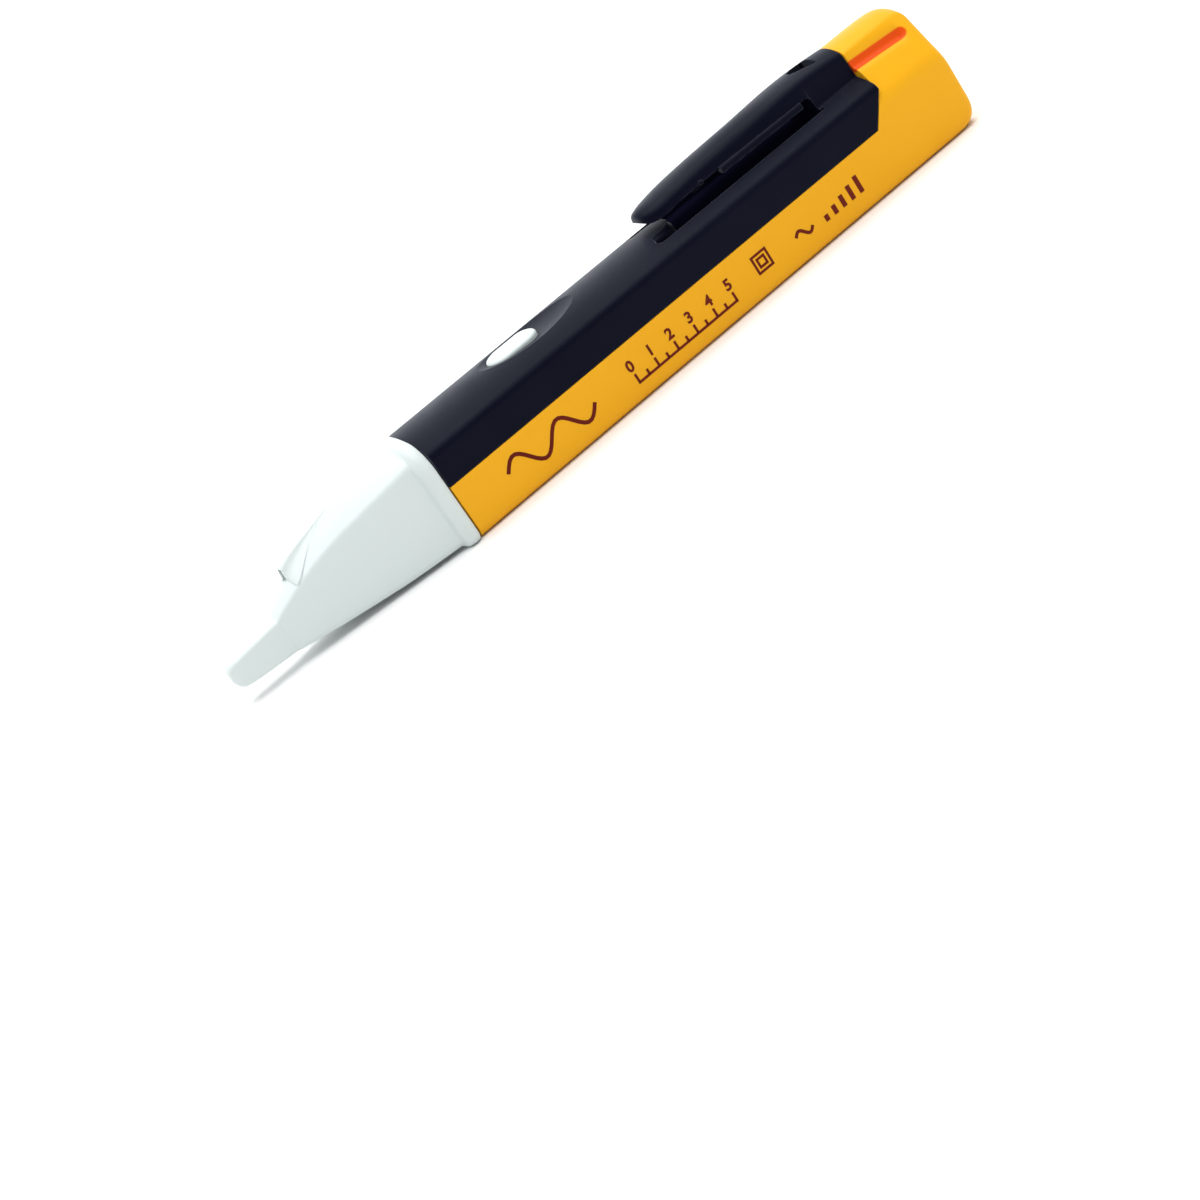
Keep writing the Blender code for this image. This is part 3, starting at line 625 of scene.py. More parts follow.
COLLAR = (
    # the same for the bead at the rear, whose corners are rounder
    (39.55, 9.2, 0.55, 17.2, 18.92, 1.3, 2.2),
    (39.7, 9.5, 0.42, 17.6, 18.95, 1.35, 3.6),
    (39.9, 9.9, 0.24, 18.1, 18.98, 1.4, 4.9),
    (40.2, 10.2, 0.1, 18.45, 19.05, 1.4, 5.2),
    (40.7, 10.36, 0.02, 18.6, 19.1, 1.4, 5.2),
    (41.3, 10.4, 0.0, 18.65, 19.1, 1.4, 5.2),
    (41.8, 10.34, 0.01, 18.6, 19.05, 1.4, 5.2),
    (42.15, 10.15, 0.06, 18.4, 18.85, 1.4, 5.2),
    (42.35, 9.9, 0.15, 18.15, 18.6, 1.4, 5.0),
)
SPINE = (
    # station, half width, top
    (15.8, 0.95, 13.3),
    (15.9, 1.05, 13.75),
    (16.1, 1.1, 14.05),
    (16.5, 1.15, 14.35),
    (17.5, 1.15, 14.8),
    (21.0, 1.15, 15.75),
    (24.5, 1.1, 16.45),
    (27.5, 0.95, 17.1),
    (29.5, 0.6, 17.5),
)
NOSE_STEP = 0.8
NOSE_WALL = 1.5
HOLLOW_START = 20
HOLLOW_STEP = 1.5
HOLLOW_CORNER = 0.6
SPIGOT = (40.5, 46.7)
SPIGOT_HALF_WIDTH = 6.9
SPIGOT_HEIGHTS = (2.0, 14.9)
SPIGOT_WALL = 1.2
MOUTH = (37.5, 48.0)
# Stations, sides and heights
ANTENNA_SLOT = ((2.0, 22.0), (-1.1, 1.1), (4.6, 6.0))
VENT = ((15.5, 20.8), (-0.72, 0.72), (11.75, 13.7))


def crest_of(rows, station):
    """The height of the crown at a station, from rows in order of station."""
    for near, far in zip(rows, rows[1:]):
        if near[0] <= station <= far[0]:
            return near[4] + (far[4] - near[4]) * (station - near[0]) / (far[0] - near[0])
    return rows[-1][4]


def spine_section(half, top, rise):
    """A rounded ridge whose foot flares out to lie on the crown, from its height above the crown."""
    low, foot = top - 5.0, half + 1.4 * rise
    right = [(0.0, low), (foot, low), (foot, top - 1.45 * rise - 0.1)]
    for out, drop in ((1.05, 1.22), (0.75, 1.06), (0.45, 0.86), (0.24, 0.64), (0.1, 0.42), (0.02, 0.22)):
        right.append((half + out * rise, top - drop * rise))
    right += [(half * 0.93, top - 0.1 * rise), (half * 0.75, top - 0.03 * rise)]
    return mirrored(right + [(half * 0.4, top), (0.0, top)])


def make_nose():
    cone = smooth_rows(CONE, NOSE_STEP)
    rows = smooth_rows(BLADE, NOSE_STEP)[:-1] + cone + [list(row) for row in COLLAR]
    nose = loft("nose_shell", [ring_x(row[0], body_section(*row[1:])) for row in rows], WHITE)
    ridge = []
    for station, half, top in smooth_rows(SPINE, NOSE_STEP):
        rise = max(0.25, top - crest_of(cone, station))
        ridge.append(ring_x(station, spine_section(half, top, rise)))
    hollow = []
    for row in smooth_rows([row for row in CONE if row[0] >= HOLLOW_START], HOLLOW_STEP):
        station, half, floor, edge, crest, low_corner, high_corner = row
        sizes = (half - NOSE_WALL, floor + NOSE_WALL, edge - NOSE_WALL, crest - NOSE_WALL)
        corners = (low_corner * HOLLOW_CORNER, high_corner * HOLLOW_CORNER)
        hollow.append(ring_x(station, body_section(*sizes, *corners)))
    low, high = SPIGOT_HEIGHTS
    inner = SPIGOT_HALF_WIDTH - SPIGOT_WALL
    changes = [
        ("UNION", loft("spine", ridge, WHITE)),
        ("UNION", block("spigot", SPIGOT, (-SPIGOT_HALF_WIDTH, SPIGOT_HALF_WIDTH), SPIGOT_HEIGHTS)),
        ("DIFFERENCE", loft("hollow", hollow, WHITE)),
        ("DIFFERENCE", block("mouth", MOUTH, (-inner, inner), (low + SPIGOT_WALL, high - SPIGOT_WALL))),
        ("DIFFERENCE", block("slot", *ANTENNA_SLOT)),
        ("DIFFERENCE", block("vent", *VENT)),
    ]
    apply_booleans(nose, changes)
    crease_at(nose, (BLADE[-1][0], CONE[-1][0], COLLAR[0][0]))
    finish_piece(nose, "core", "white_plastic", "nose_cone")


# ---------------------------------------------------------------- upper case

SEAM_GAP = 0.06
SKIRT_GAP = 0.3
SKIRT_HALF_WIDTH = HALF_WIDTH - WALL - SKIRT_GAP
SKIRT_LOW = 7.2
CASE_SLANT = 4.0
SLANT_RISE = 5.3
ROOM_HALF_WIDTH = 7.2
ROOM_SPLIT = (83, 84)
CEILING_FRONT = 15.6
CEILING_REAR = 14.3
HUMP_START = 129.6
RECESS_START = 93.9
RECESS_HALF_WIDTH = 6.2
RECESS_FLOOR = 15.5
RECESS_CORNER = 1.2
RECESS_FOOT = (
    # height above the floor, how far the outline is drawn in
    (0.0, 0.5),
    (0.06, 0.28),
    (0.2, 0.1),
    (0.5, 0.0),
)
RECESS_RIM = (
    # height, how far the tongue is drawn back
    (16.7, 0.0),
    (16.95, 0.04),
    (17.15, 0.13),
    (17.3, 0.26),
    (17.42, 0.42),
    (17.52, 0.62),
    (20, 0.62),
)
TONGUE_LENGTH = 5.0
TONGUE_HALF_WIDTH = 4.05
TONGUE_BASE = RECESS_START + 0.6
TONGUE_BLUNTNESS = 0.75
TONGUE_STEPS = 32
DISH_CENTRE = 69.5
DISH = (9.9, 7.5)
DISH_LOW = 16.95
DISH_RISE = 1.08
DISH_REACH = 1.25
DISH_RINGS = 18
DISH_STEPS = 72
BUTTON_LOW, BUTTON_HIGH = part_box("power_button")
BUTTON_CENTRE = station_of((BUTTON_LOW.x + BUTTON_HIGH.x) / 2)
FLANGE = 0.7
BUTTON_HALF_LENGTH = (BUTTON_HIGH.x - BUTTON_LOW.x) / MM / 2 - FLANGE
BUTTON_HALF_WIDTH = BUTTON_HIGH.y / MM - FLANGE
BUTTON_TOP = BUTTON_HIGH.z / MM
BUTTON_GAP = 0.14


def dish_cutter():
    """The space of the shallow dish round the button: a paraboloid with a flat lid above the case."""
    turn = [2 * math.pi * i / DISH_STEPS for i in range(DISH_STEPS)]
    rings = []
    for row in range(1, DISH_RINGS + 1):
        reach = DISH_REACH * row / DISH_RINGS
        long, wide = DISH[0] * reach, DISH[1] * reach
        outline = [(DISH_CENTRE + long * math.cos(a), wide * math.sin(a)) for a in turn]
        rings.append(ring_z(DISH_LOW + DISH_RISE * reach**2, outline))
    rings.append(ring_z(22, outline))
    return loft("dish", rings, DARK)


def recess_outline(inset, ramp=0.0):
    """The bay under the clip, drawn in by an inset, with a blunt tongue of the case running into it.

    The ramp draws the tongue back, to round its upper edge."""
    half, start, end = RECESS_HALF_WIDTH - inset, RECESS_START + inset, HUMP_START + 0.5
    corner, past_tongue = RECESS_CORNER, TONGUE_BASE + TONGUE_LENGTH
    points = [(end, -half), (past_tongue, -half)]
    points += arc((start + corner, -half + corner), corner, 270, 180, 5)
    length, width = TONGUE_LENGTH + inset - 0.6 * ramp, TONGUE_HALF_WIDTH + inset - ramp
    for i in range(TONGUE_STEPS + 1):
        turn = math.pi * (i / TONGUE_STEPS - 0.5)
        out = max(0.0, math.cos(turn)) ** TONGUE_BLUNTNESS
        side = math.copysign(abs(math.sin(turn)) ** TONGUE_BLUNTNESS, turn)
        points.append((TONGUE_BASE + length * out, width * side))
    points += arc((start + corner, half - corner), corner, 180, 90, 5)
    return points + [(past_tongue, half), (end, half)]


def recess_cutter():
    """The space of the recess, with a small fillet round its floor and the tongue's edge rounded."""
    rings = [ring_z(RECESS_FLOOR + up, recess_outline(inset)) for up, inset in RECESS_FOOT]
    rings += [ring_z(height, recess_outline(0.0, ramp)) for height, ramp in RECESS_RIM]
    return loft("recess", rings, DARK)


def paint_recess_shade(case):
    """Painted shade: the rough recess look without sheen, on the floor of the recess and on its walls
    behind the tongue, where shade falls under the clip.
    """
    case.data.materials.append(RECESS_SHADE)
    for face in case.data.polygons:
        station, side, height = station_of(face.center.x), abs(face.center.y) / MM, face.center.z / MM
        inside = station > RECESS_START - 0.1 and side < RECESS_HALF_WIDTH + 0.05
        past_tongue = station > TONGUE_BASE + TONGUE_LENGTH + 0.1 or height < RECESS_FLOOR + 0.3
        if inside and past_tongue and RECESS_FLOOR - 0.1 < height < EDGE_Z + 0.9:
            face.material_index = 1


def slant_cutter():
    """What is cut from the case's rear corners, below its slanted ends."""
    foot, top = CASE_END - CASE_SLANT, SEAM_Z + SLANT_RISE
    outline = [(foot, SEAM_Z), (foot - CASE_SLANT / SLANT_RISE * SEAM_Z, 0), (CASE_END + 1, 0)]
    return prism_y("slant", outline + [(CASE_END + 1, top), (CASE_END, top)], BEYOND)


def make_case():
    section = body_section(HALF_WIDTH, 0.0, EDGE_Z, CREST_Z, CORNER_LOW, CORNER_HIGH)
    stations = [CASE_START + (CASE_END - CASE_START) * i / BODY_STEPS for i in range(BODY_STEPS + 1)]
    case = loft("case_shell", [ring_x(s, section) for s in stations], DARK)
    start, end = CASE_START - 1, CASE_END + 1
    seam = (-1, SEAM_Z + SEAM_GAP)
    room = (-ROOM_HALF_WIDTH, ROOM_HALF_WIDTH)
    hole = stadium(BUTTON_CENTRE, BUTTON_HALF_LENGTH + BUTTON_GAP, BUTTON_HALF_WIDTH + BUTTON_GAP)
    cutters = [
        block("below_left", (start, end), (-BEYOND, -SKIRT_HALF_WIDTH), seam),
        block("below_right", (start, end), (SKIRT_HALF_WIDTH, BEYOND), seam),
        block("low", (start, end), (-BEYOND, BEYOND), (-1, SKIRT_LOW)),
        block("front_room", (start, ROOM_SPLIT[1]), room, (0, CEILING_FRONT)),
        block("rear_room", (ROOM_SPLIT[0], end), room, (0, CEILING_REAR)),
        slant_cutter(),
        dish_cutter(),
        loft("hole", [ring_z(14, hole), ring_z(20, hole)], DARK),
        recess_cutter(),
    ]
    apply_booleans(case, [("DIFFERENCE", cutter) for cutter in cutters])
    paint_recess_shade(case)
    finish_piece(case, "core", "dark_plastic", "upper_case")


# ---------------------------------------------------------------- clip and the hump that carries it

CLIP = (
    # station, half width, underside, top at the shoulders
    (95.1, 1.3, 20.3, 20.9),
    (95.2, 1.9, 20.05, 21.05),
    (95.45, 2.55, 19.82, 21.18),
    (96.0, 3.25, 19.62, 21.32),
    (97.0, 3.9, 19.52, 21.45),
    (98.5, 4.4, 19.62, 21.6),
    (102.0, 4.7, 19.95, 21.95),
    (105.5, 4.75, 20.05, 22.25),
    (109.0, 4.8, 20.05, 22.45),
    (116.0, 4.85, 19.95, 22.7),
    (126.0, 4.9, 19.95, 22.88),
    (128.4, 4.9, 19.95, 22.9),
)
ROOT = (
    # station, underside
    (128.75, 19.88),
    (129.05, 19.65),
    (129.3, 19.25),
    (129.45, 18.6),
    (129.5, 17.5),
    (129.6, 15.2),
)
HUMP_TOP = 22.9
HUMP_REAR_TOP = 22.2
HUMP_HALF_WIDTH = 4.9
HUMP_LOW = 15.2
HUMP_FOOT = 17.2
HUMP_FILLET = 0.9
HUMP_STEPS = 28
ARM_CROWN = 0.5
HUMP_REAR_CROWN = 0.85
CLIP_CORNER = 1.45
ARM_CORNER = 2.15
CORNER_FADE = (117.5, 127.5)
SHOULDER_START = 9
DRAFT = 0.15
DRAFT_HEIGHT = 2.9
ROOT_WALL = (128.0, 129.9)
ROOT_WALL_TOP = 20.1
LIP = (
    # station, top
    (109.8, 20.25),
    (127.3, 20.05),
)
LIP_INNER = 4.2
LIP_OUTER = HUMP_HALF_WIDTH + 0.6
LIP_DEPTH = 1.0
STUD = (106.0, 20.2)  # station and height
STUD_Y = 4.7
STUD_STEPS = 16
STUD_ROWS = (
    # distance outward from the arm's side, radius
    (-0.5, 0.4),
    (0.1, 0.4),
    (0.22, 0.34),
    (0.3, 0.2),
    (0.33, 0.07),
)
WINDOW = (
    # station, half width
    (130.5, 0.5),
    (131.2, 1.3),
    (134.3, 2.7),
    (134.8, 2.5),
)
WINDOW_LOW = 17.6
PIP = (103.6, 105.3, 106.5, 108.2)  # its start, the middles of its two rounds, its end
PIP_ROOT = 20.9
PIP_CENTRE_Z = 19.5
PIP_RADIUS = 0.6
PIP_HALF_WIDTH = 2.5


def arm_section(station, half, low, top):
    """The arm's section, whose shoulders are rounder than the hump's and meet them at the root."""
    start, end = CORNER_FADE
    wanted = CLIP_CORNER + (ARM_CORNER - CLIP_CORNER) * ease((end - station) / (end - start))
    corner = min(wanted, (top - low) * 0.8, half * 0.5)
    lean = DRAFT * min(top - low, DRAFT_HEIGHT)
    rise = ARM_CROWN * min(1.0, corner / CLIP_CORNER)
    shoulder = roof(half - lean, top, corner, rise, SHOULDER_START)
    foot = (half, low)
    return mirrored([(0.0, low), foot] + between(foot, shoulder[0], 4) + shoulder)


def hump_section(top, rise):
    """The hump's section: near upright sides, rounded shoulders and a fillet down to the case."""
    out = HUMP_HALF_WIDTH + HUMP_FILLET
    right = [(0.0, HUMP_LOW), (out - 0.1, HUMP_LOW)]
    right += arc((out, HUMP_FOOT + HUMP_FILLET), HUMP_FILLET, 263, 189, 7)
    shoulder = roof(HUMP_HALF_WIDTH - DRAFT * DRAFT_HEIGHT, top, CLIP_CORNER, rise, SHOULDER_START)
    return mirrored(right + between(right[-1], shoulder[0], 4) + shoulder)


def make_hump():
    """The hump behind the arm, which falls and rounds off a little towards the rear."""
    start = HUMP_START - 0.1
    rings = []
    for i in range(HUMP_STEPS + 1):
        share = i / HUMP_STEPS
        top = HUMP_TOP - (HUMP_TOP - HUMP_REAR_TOP) * share**1.6
        rise = ARM_CROWN + (HUMP_REAR_CROWN - ARM_CROWN) * share
        rings.append(ring_x(start + (CASE_END - start) * share, hump_section(top, rise)))
    return loft("hump", rings, DARK)


def make_window():
    """Cutter for the opening in the hump's top, which widens to the rear."""
    outline = list(WINDOW) + [(station, -half) for station, half in reversed(WINDOW)]
    return loft("window", [ring_z(WINDOW_LOW, outline), ring_z(25, outline)], DARK)


def make_pip():
    """The rounded bar under the arm that grips a pocket."""
    start, front, rear, end = PIP
    outline = [(start, PIP_ROOT)] + arc((front, PIP_CENTRE_Z), PIP_RADIUS, 200, 270, 5)
    outline += arc((rear, PIP_CENTRE_Z), PIP_RADIUS, 270, 340, 5) + [(end, PIP_ROOT)]
    return prism_y("pip", outline, PIP_HALF_WIDTH)


def make_lip(side):
    """The outward lip along an edge of the arm."""
    inner, outer = LIP_INNER, LIP_OUTER
    rings = []
    for station, top in LIP:
        low = top - LIP_DEPTH
        corners = [(inner, low), (outer - 0.1, low), (outer, low + 0.1), (outer, top - 0.26)]
        corners += [(outer - 0.05, top - 0.12), (outer - 0.14, top - 0.03), (outer - 0.28, top + 0.04)]
        corners.append((inner, top + 0.04))
        rings.append(ring_x(station, [(side * y, z) for y, z in corners]))
    return loft(f"lip_{side}", rings, DARK)


def make_stud(side):
    """A small moulded stud on the arm's lower edge."""
    turn = [2 * math.pi * i / STUD_STEPS for i in range(STUD_STEPS)]
    rings = []
    for out, radius in STUD_ROWS:
        y = side * (STUD_Y + out) * MM
        circle = [(STUD[0] + radius * math.cos(a), STUD[1] + radius * math.sin(a)) for a in turn]
        rings.append([Vector((at(station), y, z * MM)) for station, z in circle])
    return loft(f"stud_{side}", rings, DARK)


def paint_root_shade(arm):
    """Painted shade: the rough recess look without sheen, on the root's front wall under the arm, where
    shade falls.
    """
    arm.data.materials.append(RECESS_SHADE)
    start, end = ROOT_WALL
    for face in arm.data.polygons:
        low_down = start < station_of(face.center.x) < end and face.center.z < ROOT_WALL_TOP * MM
        if low_down and face.normal.x < -0.2 and abs(face.normal.y) < 0.7:
            face.material_index = 1


def make_clip():
    rows = [tuple(row) for row in smooth_rows(CLIP, 0.7)]
    rows += [(station, HUMP_HALF_WIDTH, low, HUMP_TOP) for station, low in ROOT]
    arm = loft("clip_arm", [ring_x(row[0], arm_section(*row)) for row in rows], DARK)
    changes = [("UNION", make_hump()), ("UNION", make_pip())]
    for side in (-1, 1):
        changes += [("UNION", make_lip(side)), ("UNION", make_stud(side))]
    apply_booleans(arm, changes + [("DIFFERENCE", make_window())])
    paint_root_shade(arm)
    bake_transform(arm)
    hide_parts("pocket_clip")


# ---------------------------------------------------------------- battery cover

CAP = (
    # distance from the rear end, inset of the sides, inset of the underside, top at the shoulders
    (17.0, 0.0, 0.0, 22.1),
    (9.0, 0.0, 0.0, 22.1),
    (5.0, 0.0, 0.0, 22.05),
    (3.4, 0.01, 0.03, 21.97),
    (2.4, 0.03, 0.1, 21.88),
    (1.4, 0.08, 0.3, 21.65),
    (0.8, 0.17, 0.55, 21.35),
    (0.4, 0.31, 0.85, 21.0),
    (0.15, 0.49, 1.15, 20.6),
    (0.03, 0.66, 1.4, 20.25),
    (0.0, 0.8, 1.6, 19.95),
)
CAP_CROWN = 0.75
CAP_BEND = 5.0
CAP_BEND_DROP = 10.1
CAP_LEAN_ANGLE = 31
CAP_CORNER = 1.5
CAP_LOW_ROUNDING = 1.2
CAP_SHOULDER_START = 36
CAP_END = 3.5
GROOVE_FADE = 1.2
SLANT_GAP = 0.16
REAR_GAP = 0.14
TROUGH_TOP = 14.5
TROUGH_REAR_WALL = 3.2
HUMP_ROOM_SIDES = (-3.5, 3.5)
HUMP_ROOM_HEIGHTS = (12, 20.6)
HUMP_ROOM_REAR_WALL = 4.4


def cap_section(distance, inset, low, top):
    """The rear cap's section: flat sides that lean in above the seam, a groove and the hump."""
    half = HALF_WIDTH - inset
    station = LENGTH - distance
    deep = ease((GROOVE_STOP + GROOVE_FADE / 2 - station) / GROOVE_FADE)
    corner = CORNER_LOW + CAP_LOW_ROUNDING * max(0.0, 1 - distance / CAP_END) ** 1.5
    right = [(0.0, low)] + arc((half - corner, low + corner), corner, -90, 0, 8)
    bend = arc((half - CAP_BEND, top - CAP_BEND_DROP), CAP_BEND, 0, CAP_LEAN_ANGLE, 8)
    right += between(right[-1], bend[0], 4) + bend
    shoulder = roof(HUMP_HALF_WIDTH, top, CAP_CORNER, CAP_CROWN, CAP_SHOULDER_START)
    start, end = right[-1], shoulder[0]
    centre = groove_share(station)
    for y, z in between(start, end, 30):
        share = (y - end[0]) / (start[0] - end[0])
        hollow = math.exp(-(((share - centre) / GROOVE_WIDTH) ** 2)) * deep
        right.append((y - GROOVE_DEPTH[0] * hollow, z - GROOVE_DEPTH[1] * hollow))
    return mirrored(right + shoulder)


def make_cover():
    section = body_section(HALF_WIDTH, 0.0, EDGE_Z, CREST_Z, CORNER_LOW, CORNER_HIGH)
    stations = [CASE_START + (CASE_END - 2 - CASE_START) * i / BODY_STEPS for i in range(BODY_STEPS + 1)]
    cover = loft("cover_shell", [ring_x(s, section) for s in stations], YELLOW)
    rows = smooth_rows([(LENGTH - row[0], *row[1:]) for row in CAP], 0.5)
    cap = loft("cap", [ring_x(row[0], cap_section(LENGTH - row[0], *row[1:])) for row in rows], YELLOW)
    start, seam, rear = CASE_START - 1, SEAM_Z - SEAM_GAP, CASE_END + REAR_GAP
    above = [(start, seam), (CASE_END - CASE_SLANT + SLANT_GAP, seam)]
    above += [(rear, SEAM_Z + SLANT_RISE), (rear, 30), (start, 30)]
    inner, hump_room_end = HALF_WIDTH - WALL, LENGTH - HUMP_ROOM_REAR_WALL
    cutters = [
        block("trough", (start, LENGTH - TROUGH_REAR_WALL), (-inner, inner), (WALL, TROUGH_TOP)),
        block("hump_room", (CASE_END - 1, hump_room_end), HUMP_ROOM_SIDES, HUMP_ROOM_HEIGHTS),
        prism_y("above", above, BEYOND),
    ]
    apply_booleans(cover, [("UNION", cap)] + [("DIFFERENCE", cutter) for cutter in cutters])
    finish_piece(cover, "cover", "yellow_plastic", "battery_cover")


# ---------------------------------------------------------------- printed marks

INK_PROUD = 0.03
INK_ROOT = 0.06
WAVES = (
    # start, end, height, swing, turns, width of the line
    (51.5, 69.5, 5.3, 1.9, 2, 0.65),
    (112.6, 116.2, 4.6, 0.7, 1, 0.55),
)
SCALE = (77.5, 98.5)
SCALE_Z = 3.0
SCALE_STEPS = 10
SCALE_LINE = 0.44
LONG_TICK, SHORT_TICK = 1.5, 0.9
DIGIT_Z = 5.2
DIGIT_SIZE = 2.6
DIGIT_WEIGHT = 0.034
SQUARES_AT = (105.6, 5.4)
SQUARE_SIDES = (2.9, 1.4)
SQUARE_LINE = 0.42
BARS = 5
BAR_START = 119.0
BAR_PITCH = 1.9
BAR_FOOT = 3.4
BAR_TOP = 4.5
BAR_GROWTH = 0.5
BAR_WIDTH = 0.85


def on_side(points):
    """Points of (station, height, outward) on the near side of the cover, in metres."""
    return [Vector((at(s), (-HALF_WIDTH - out) * MM, z * MM)) for s, z, out in points]


def ribbon(line, width, closed=False):
    """A line of ink with square ends, as (points, faces), through (station, z) places."""
    count = len(line)
    points = []
    for i, (s, z) in enumerate(line):
        before = line[i - 1] if i or closed else line[i]
        after = line[(i + 1) % count] if i < count - 1 or closed else line[i]
        first = Vector((s - before[0], z - before[1]))
        second = Vector((after[0] - s, after[1] - z))
        first = first.normalized() if first.length else second.normalized()
        second = second.normalized() if second.length else first
        across = Vector((-(first.y + second.y), first.x + second.x)).normalized()
        reach = width / 2 / max(0.4, across.dot(Vector((-first.y, first.x))))
        for out in (INK_PROUD, -INK_ROOT):
            for turn in (1, -1):
                points.append((s + across.x * reach * turn, z + across.y * reach * turn, out))
    faces = []
    for i in range(count if closed else count - 1):
        a, b = 4 * i, 4 * ((i + 1) % count)
        faces += [(a, a + 1, b + 1, b), (a + 2, b + 2, b + 3, a + 3)]
        faces += [(a, b, b + 2, a + 2), (a + 1, a + 3, b + 3, b + 1)]
    if not closed:
        end = 4 * (count - 1)
        faces += [(0, 2, 3, 1), (end, end + 1, end + 3, end + 2)]
    return on_side(points), faces


def digits(text, station, height, size):
    """A number in the built-in font, centred on a station, as (points, faces)."""
    curve = bpy.data.curves.new("digits", "FONT")
    curve.body, curve.size, curve.align_x = text, size * MM, "CENTER"
    curve.extrude = (INK_PROUD + INK_ROOT) / 2 * MM
    curve.offset = DIGIT_WEIGHT * size * MM
    curve.resolution_u = 4
    obj = bpy.data.objects.new("digits", curve)
    bpy.context.scene.collection.objects.link(obj)
    mesh = bpy.data.meshes.new_from_object(obj.evaluated_get(bpy.context.evaluated_depsgraph_get()))
    middle = (INK_PROUD - INK_ROOT) / 2
    points = [(station + v.co.x / MM, height + v.co.y / MM, middle + v.co.z / MM) for v in mesh.vertices]
    faces = [tuple(face.vertices) for face in mesh.polygons]
    bpy.data.objects.remove(obj, do_unlink=True)
    bpy.data.meshes.remove(mesh)
    bpy.data.curves.remove(curve)
    return on_side(points), faces


def wave(start, end, height, swing, turns, width):
    steps = 14 * turns
    line = []
    for i in range(steps + 1):
        share = i / steps
        rise = swing * math.sin(2 * math.pi * turns * share)
        line.append((start + (end - start) * share, height + rise))
    return ribbon(line, width)


def square(side):
    half = side / 2
    corners = ((-half, -half), (half, -half), (half, half), (-half, half))
    station, height = SQUARES_AT
    return ribbon([(station + s, height + z) for s, z in corners], SQUARE_LINE, closed=True)


def numbered_scale():
    """A level line with ticks, and a number above every long tick."""
    start, end = SCALE
    beyond = SCALE_LINE / 2
    marks = [ribbon([(start - beyond, SCALE_Z), (end + beyond, SCALE_Z)], SCALE_LINE)]
    for i in range(SCALE_STEPS + 1):
        station = start + (end - start) / SCALE_STEPS * i
        foot, numbered = SCALE_Z + 0.1, i % 2 == 0
        tall = LONG_TICK if numbered else SHORT_TICK
        marks.append(ribbon([(station, foot), (station, foot + tall)], SCALE_LINE))
        if numbered:
            marks.append(digits(str(i // 2), station, DIGIT_Z, DIGIT_SIZE))
    return marks


def make_marks():
    """Generic marks: an alternating wave, a numbered scale, nested squares and a row of level bars."""
    marks = [wave(*WAVES[0])] + numbered_scale()
    marks += [square(side) for side in SQUARE_SIDES]
    marks.append(wave(*WAVES[1]))
    for i in range(BARS):
        station = BAR_START + BAR_PITCH * i
        marks.append(ribbon([(station, BAR_FOOT), (station, BAR_TOP + BAR_GROWTH * i)], BAR_WIDTH))
    points, faces = [], []
    for more, sides in marks:
        first = len(points)
        points += more
        faces += [tuple(first + i for i in face) for face in sides]
    ink = make_object("scale_marks", points, faces, INK)
    clean_mesh(ink)
    finish_piece(ink, "cover", "dark_plastic")


# ---------------------------------------------------------------- button

FLANGE_HEIGHT = 0.6
BUTTON_SHOULDER = BUTTON_TOP - 1.1
ROUND_RISE = 0.62
ROUND_INSET = 0.75
DOME_STEPS = 8


def make_button():
    """An oval cap with a domed top and a soft rim, on the flange that keeps it in the case."""
    low = BUTTON_LOW.z / MM
    flange_top = low + FLANGE_HEIGHT
    rows = [(low, -FLANGE), (flange_top, -FLANGE), (flange_top, 0.0), (BUTTON_SHOULDER, 0.0)]
    for turn in (0.2, 0.45, 0.7, 0.95, 1.2):
        rows.append((BUTTON_SHOULDER + ROUND_RISE * math.sin(turn), ROUND_INSET * (1 - math.cos(turn))))
    rim, rim_inset = rows[-1]
    for i in range(1, DOME_STEPS + 1):
        share = i / DOME_STEPS
        inset = rim_inset + (BUTTON_HALF_WIDTH - 0.05 - rim_inset) * share
        rows.append((rim + (BUTTON_TOP - rim) * (1 - (1 - share) ** 2.2), inset))
    rings = []
    for height, inset in rows:
        outline = stadium(BUTTON_CENTRE, BUTTON_HALF_LENGTH - inset, BUTTON_HALF_WIDTH - inset, 20)
        rings.append(ring_z(height, outline))
    button = loft("button_cap", rings, WHITE)
    finish_piece(button, "button", "white_plastic", "power_button")


make_nose()
make_case()
make_clip()
make_cover()
make_marks()
make_button()

# ---------------------------------------------------------------- camera, light, floor

CAMERA_AT = Vector((-0.15292, -0.44433, 0.16285))
CAMERA_AIM = Vector((-0.02066, 0.0, -0.02446))
CAMERA_ROLL = math.radians(-34.41)
LENS = 94.1
SKY_BEHIND = 1.25
SKY_FRONT = 0.45
SOFTBOX = 2.75
SOFTBOX_SPREAD = 60
SOFTBOX_FROM = (0.05, -0.06, 1.0)
FLOOR_REACH = 3.0
FLOOR_Z = -0.00005


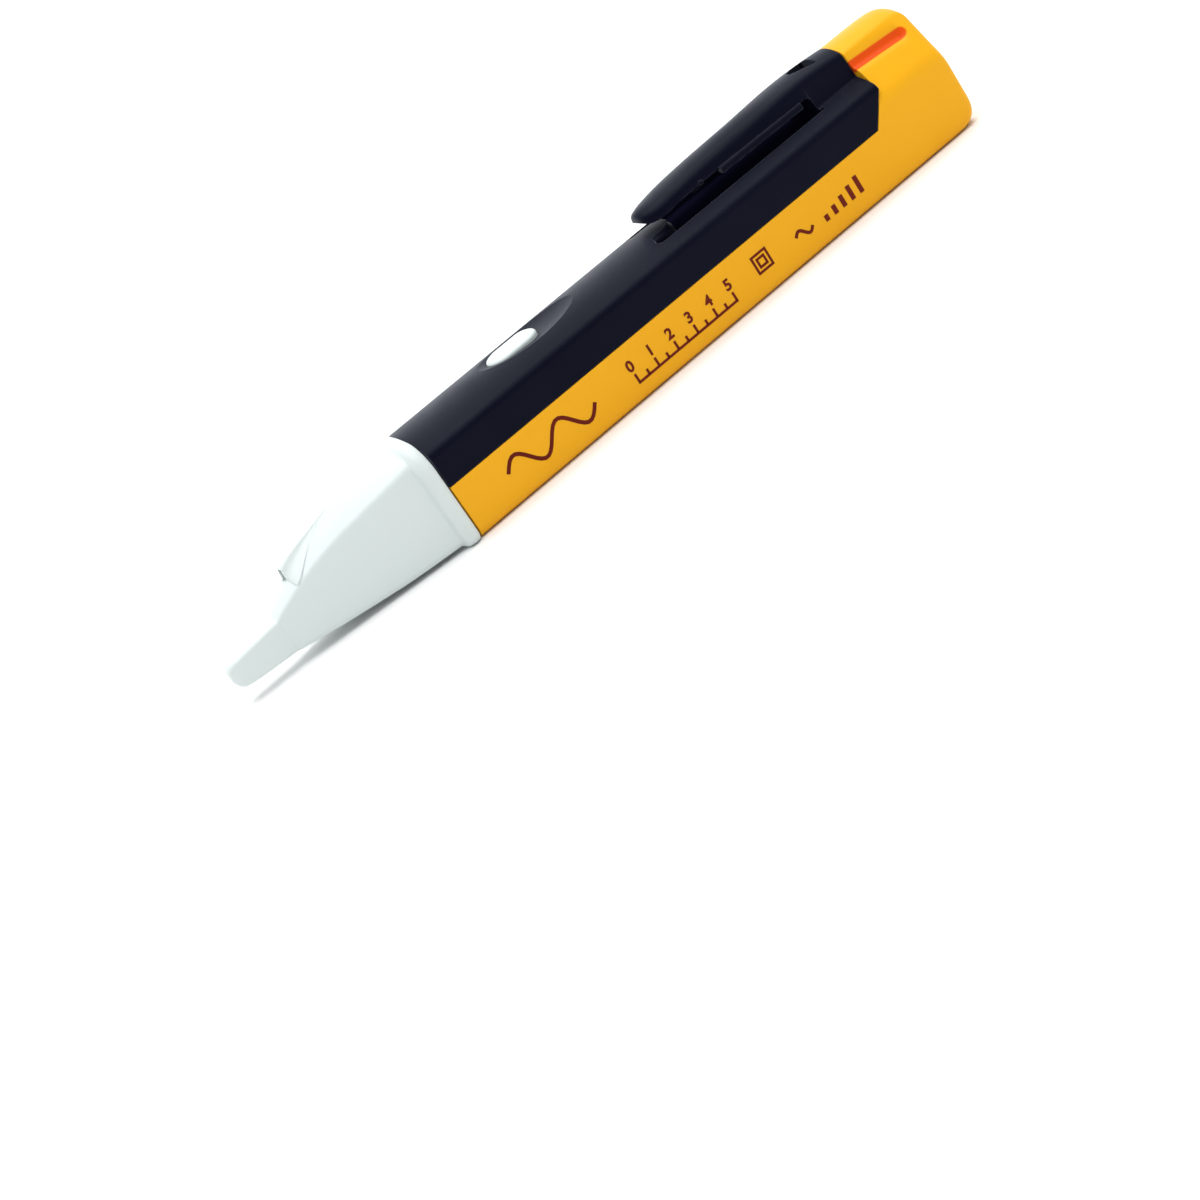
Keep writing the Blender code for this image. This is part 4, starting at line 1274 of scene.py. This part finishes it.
def make_camera():
    """The camera, which looks from a place at an aim and is rolled about its own axis."""
    back = (CAMERA_AT - CAMERA_AIM).normalized()
    right = (-back).cross(Vector((0, 0, 1))).normalized()
    up = right.cross(-back)
    x_axis = math.cos(CAMERA_ROLL) * right + math.sin(CAMERA_ROLL) * up
    y_axis = -math.sin(CAMERA_ROLL) * right + math.cos(CAMERA_ROLL) * up
    data = bpy.data.cameras.new("camera")
    data.lens = LENS
    data.sensor_width = 36
    data.clip_start = 0.01
    camera = bpy.data.objects.new("camera", data)
    turn = Matrix((x_axis, y_axis, back)).transposed().to_4x4()
    camera.matrix_world = Matrix.Translation(CAMERA_AT) @ turn
    bpy.context.scene.collection.objects.link(camera)
    bpy.context.scene.camera = camera


def make_floor():
    pale = ((0.88, 0.88, 0.88), (0.87, 0.87, 0.87))
    look = plastic("floor_look", *pale, 0.7, grain=0.0, Specular_IOR_Level=0.1)
    corners = [(x * FLOOR_REACH, y * FLOOR_REACH, 0) for x, y in ((-1, -1), (1, -1), (1, 1), (-1, 1))]
    floor = make_object("floor", corners, [(0, 1, 2, 3)], look)
    floor.location.z = FLOOR_Z


def make_sky():
    """A white studio, brighter behind the pen than in front of it."""
    world = bpy.data.worlds.new("studio")
    world.use_nodes = True
    tree = world.node_tree
    parts = add(tree, "ShaderNodeSeparateXYZ")
    tree.links.new(add(tree, "ShaderNodeTexCoord").outputs["Generated"], parts.inputs[0])
    strength = spread(tree, parts.outputs[1], -0.2, 0.8, SKY_FRONT, SKY_BEHIND)
    tree.links.new(strength, tree.nodes["Background"].inputs["Strength"])
    tree.nodes["Background"].inputs["Color"].default_value = (1, 1, 1, 1)
    bpy.context.scene.world = world


def make_softbox():
    data = bpy.data.lights.new("softbox", "SUN")
    data.energy = SOFTBOX
    data.angle = math.radians(SOFTBOX_SPREAD)
    light = bpy.data.objects.new("softbox", data)
    light.rotation_euler = (-Vector(SOFTBOX_FROM)).to_track_quat("-Z", "Y").to_euler()
    bpy.context.scene.collection.objects.link(light)


make_camera()
make_floor()
make_sky()
make_softbox()
bpy.context.scene.view_settings.view_transform = "Standard"
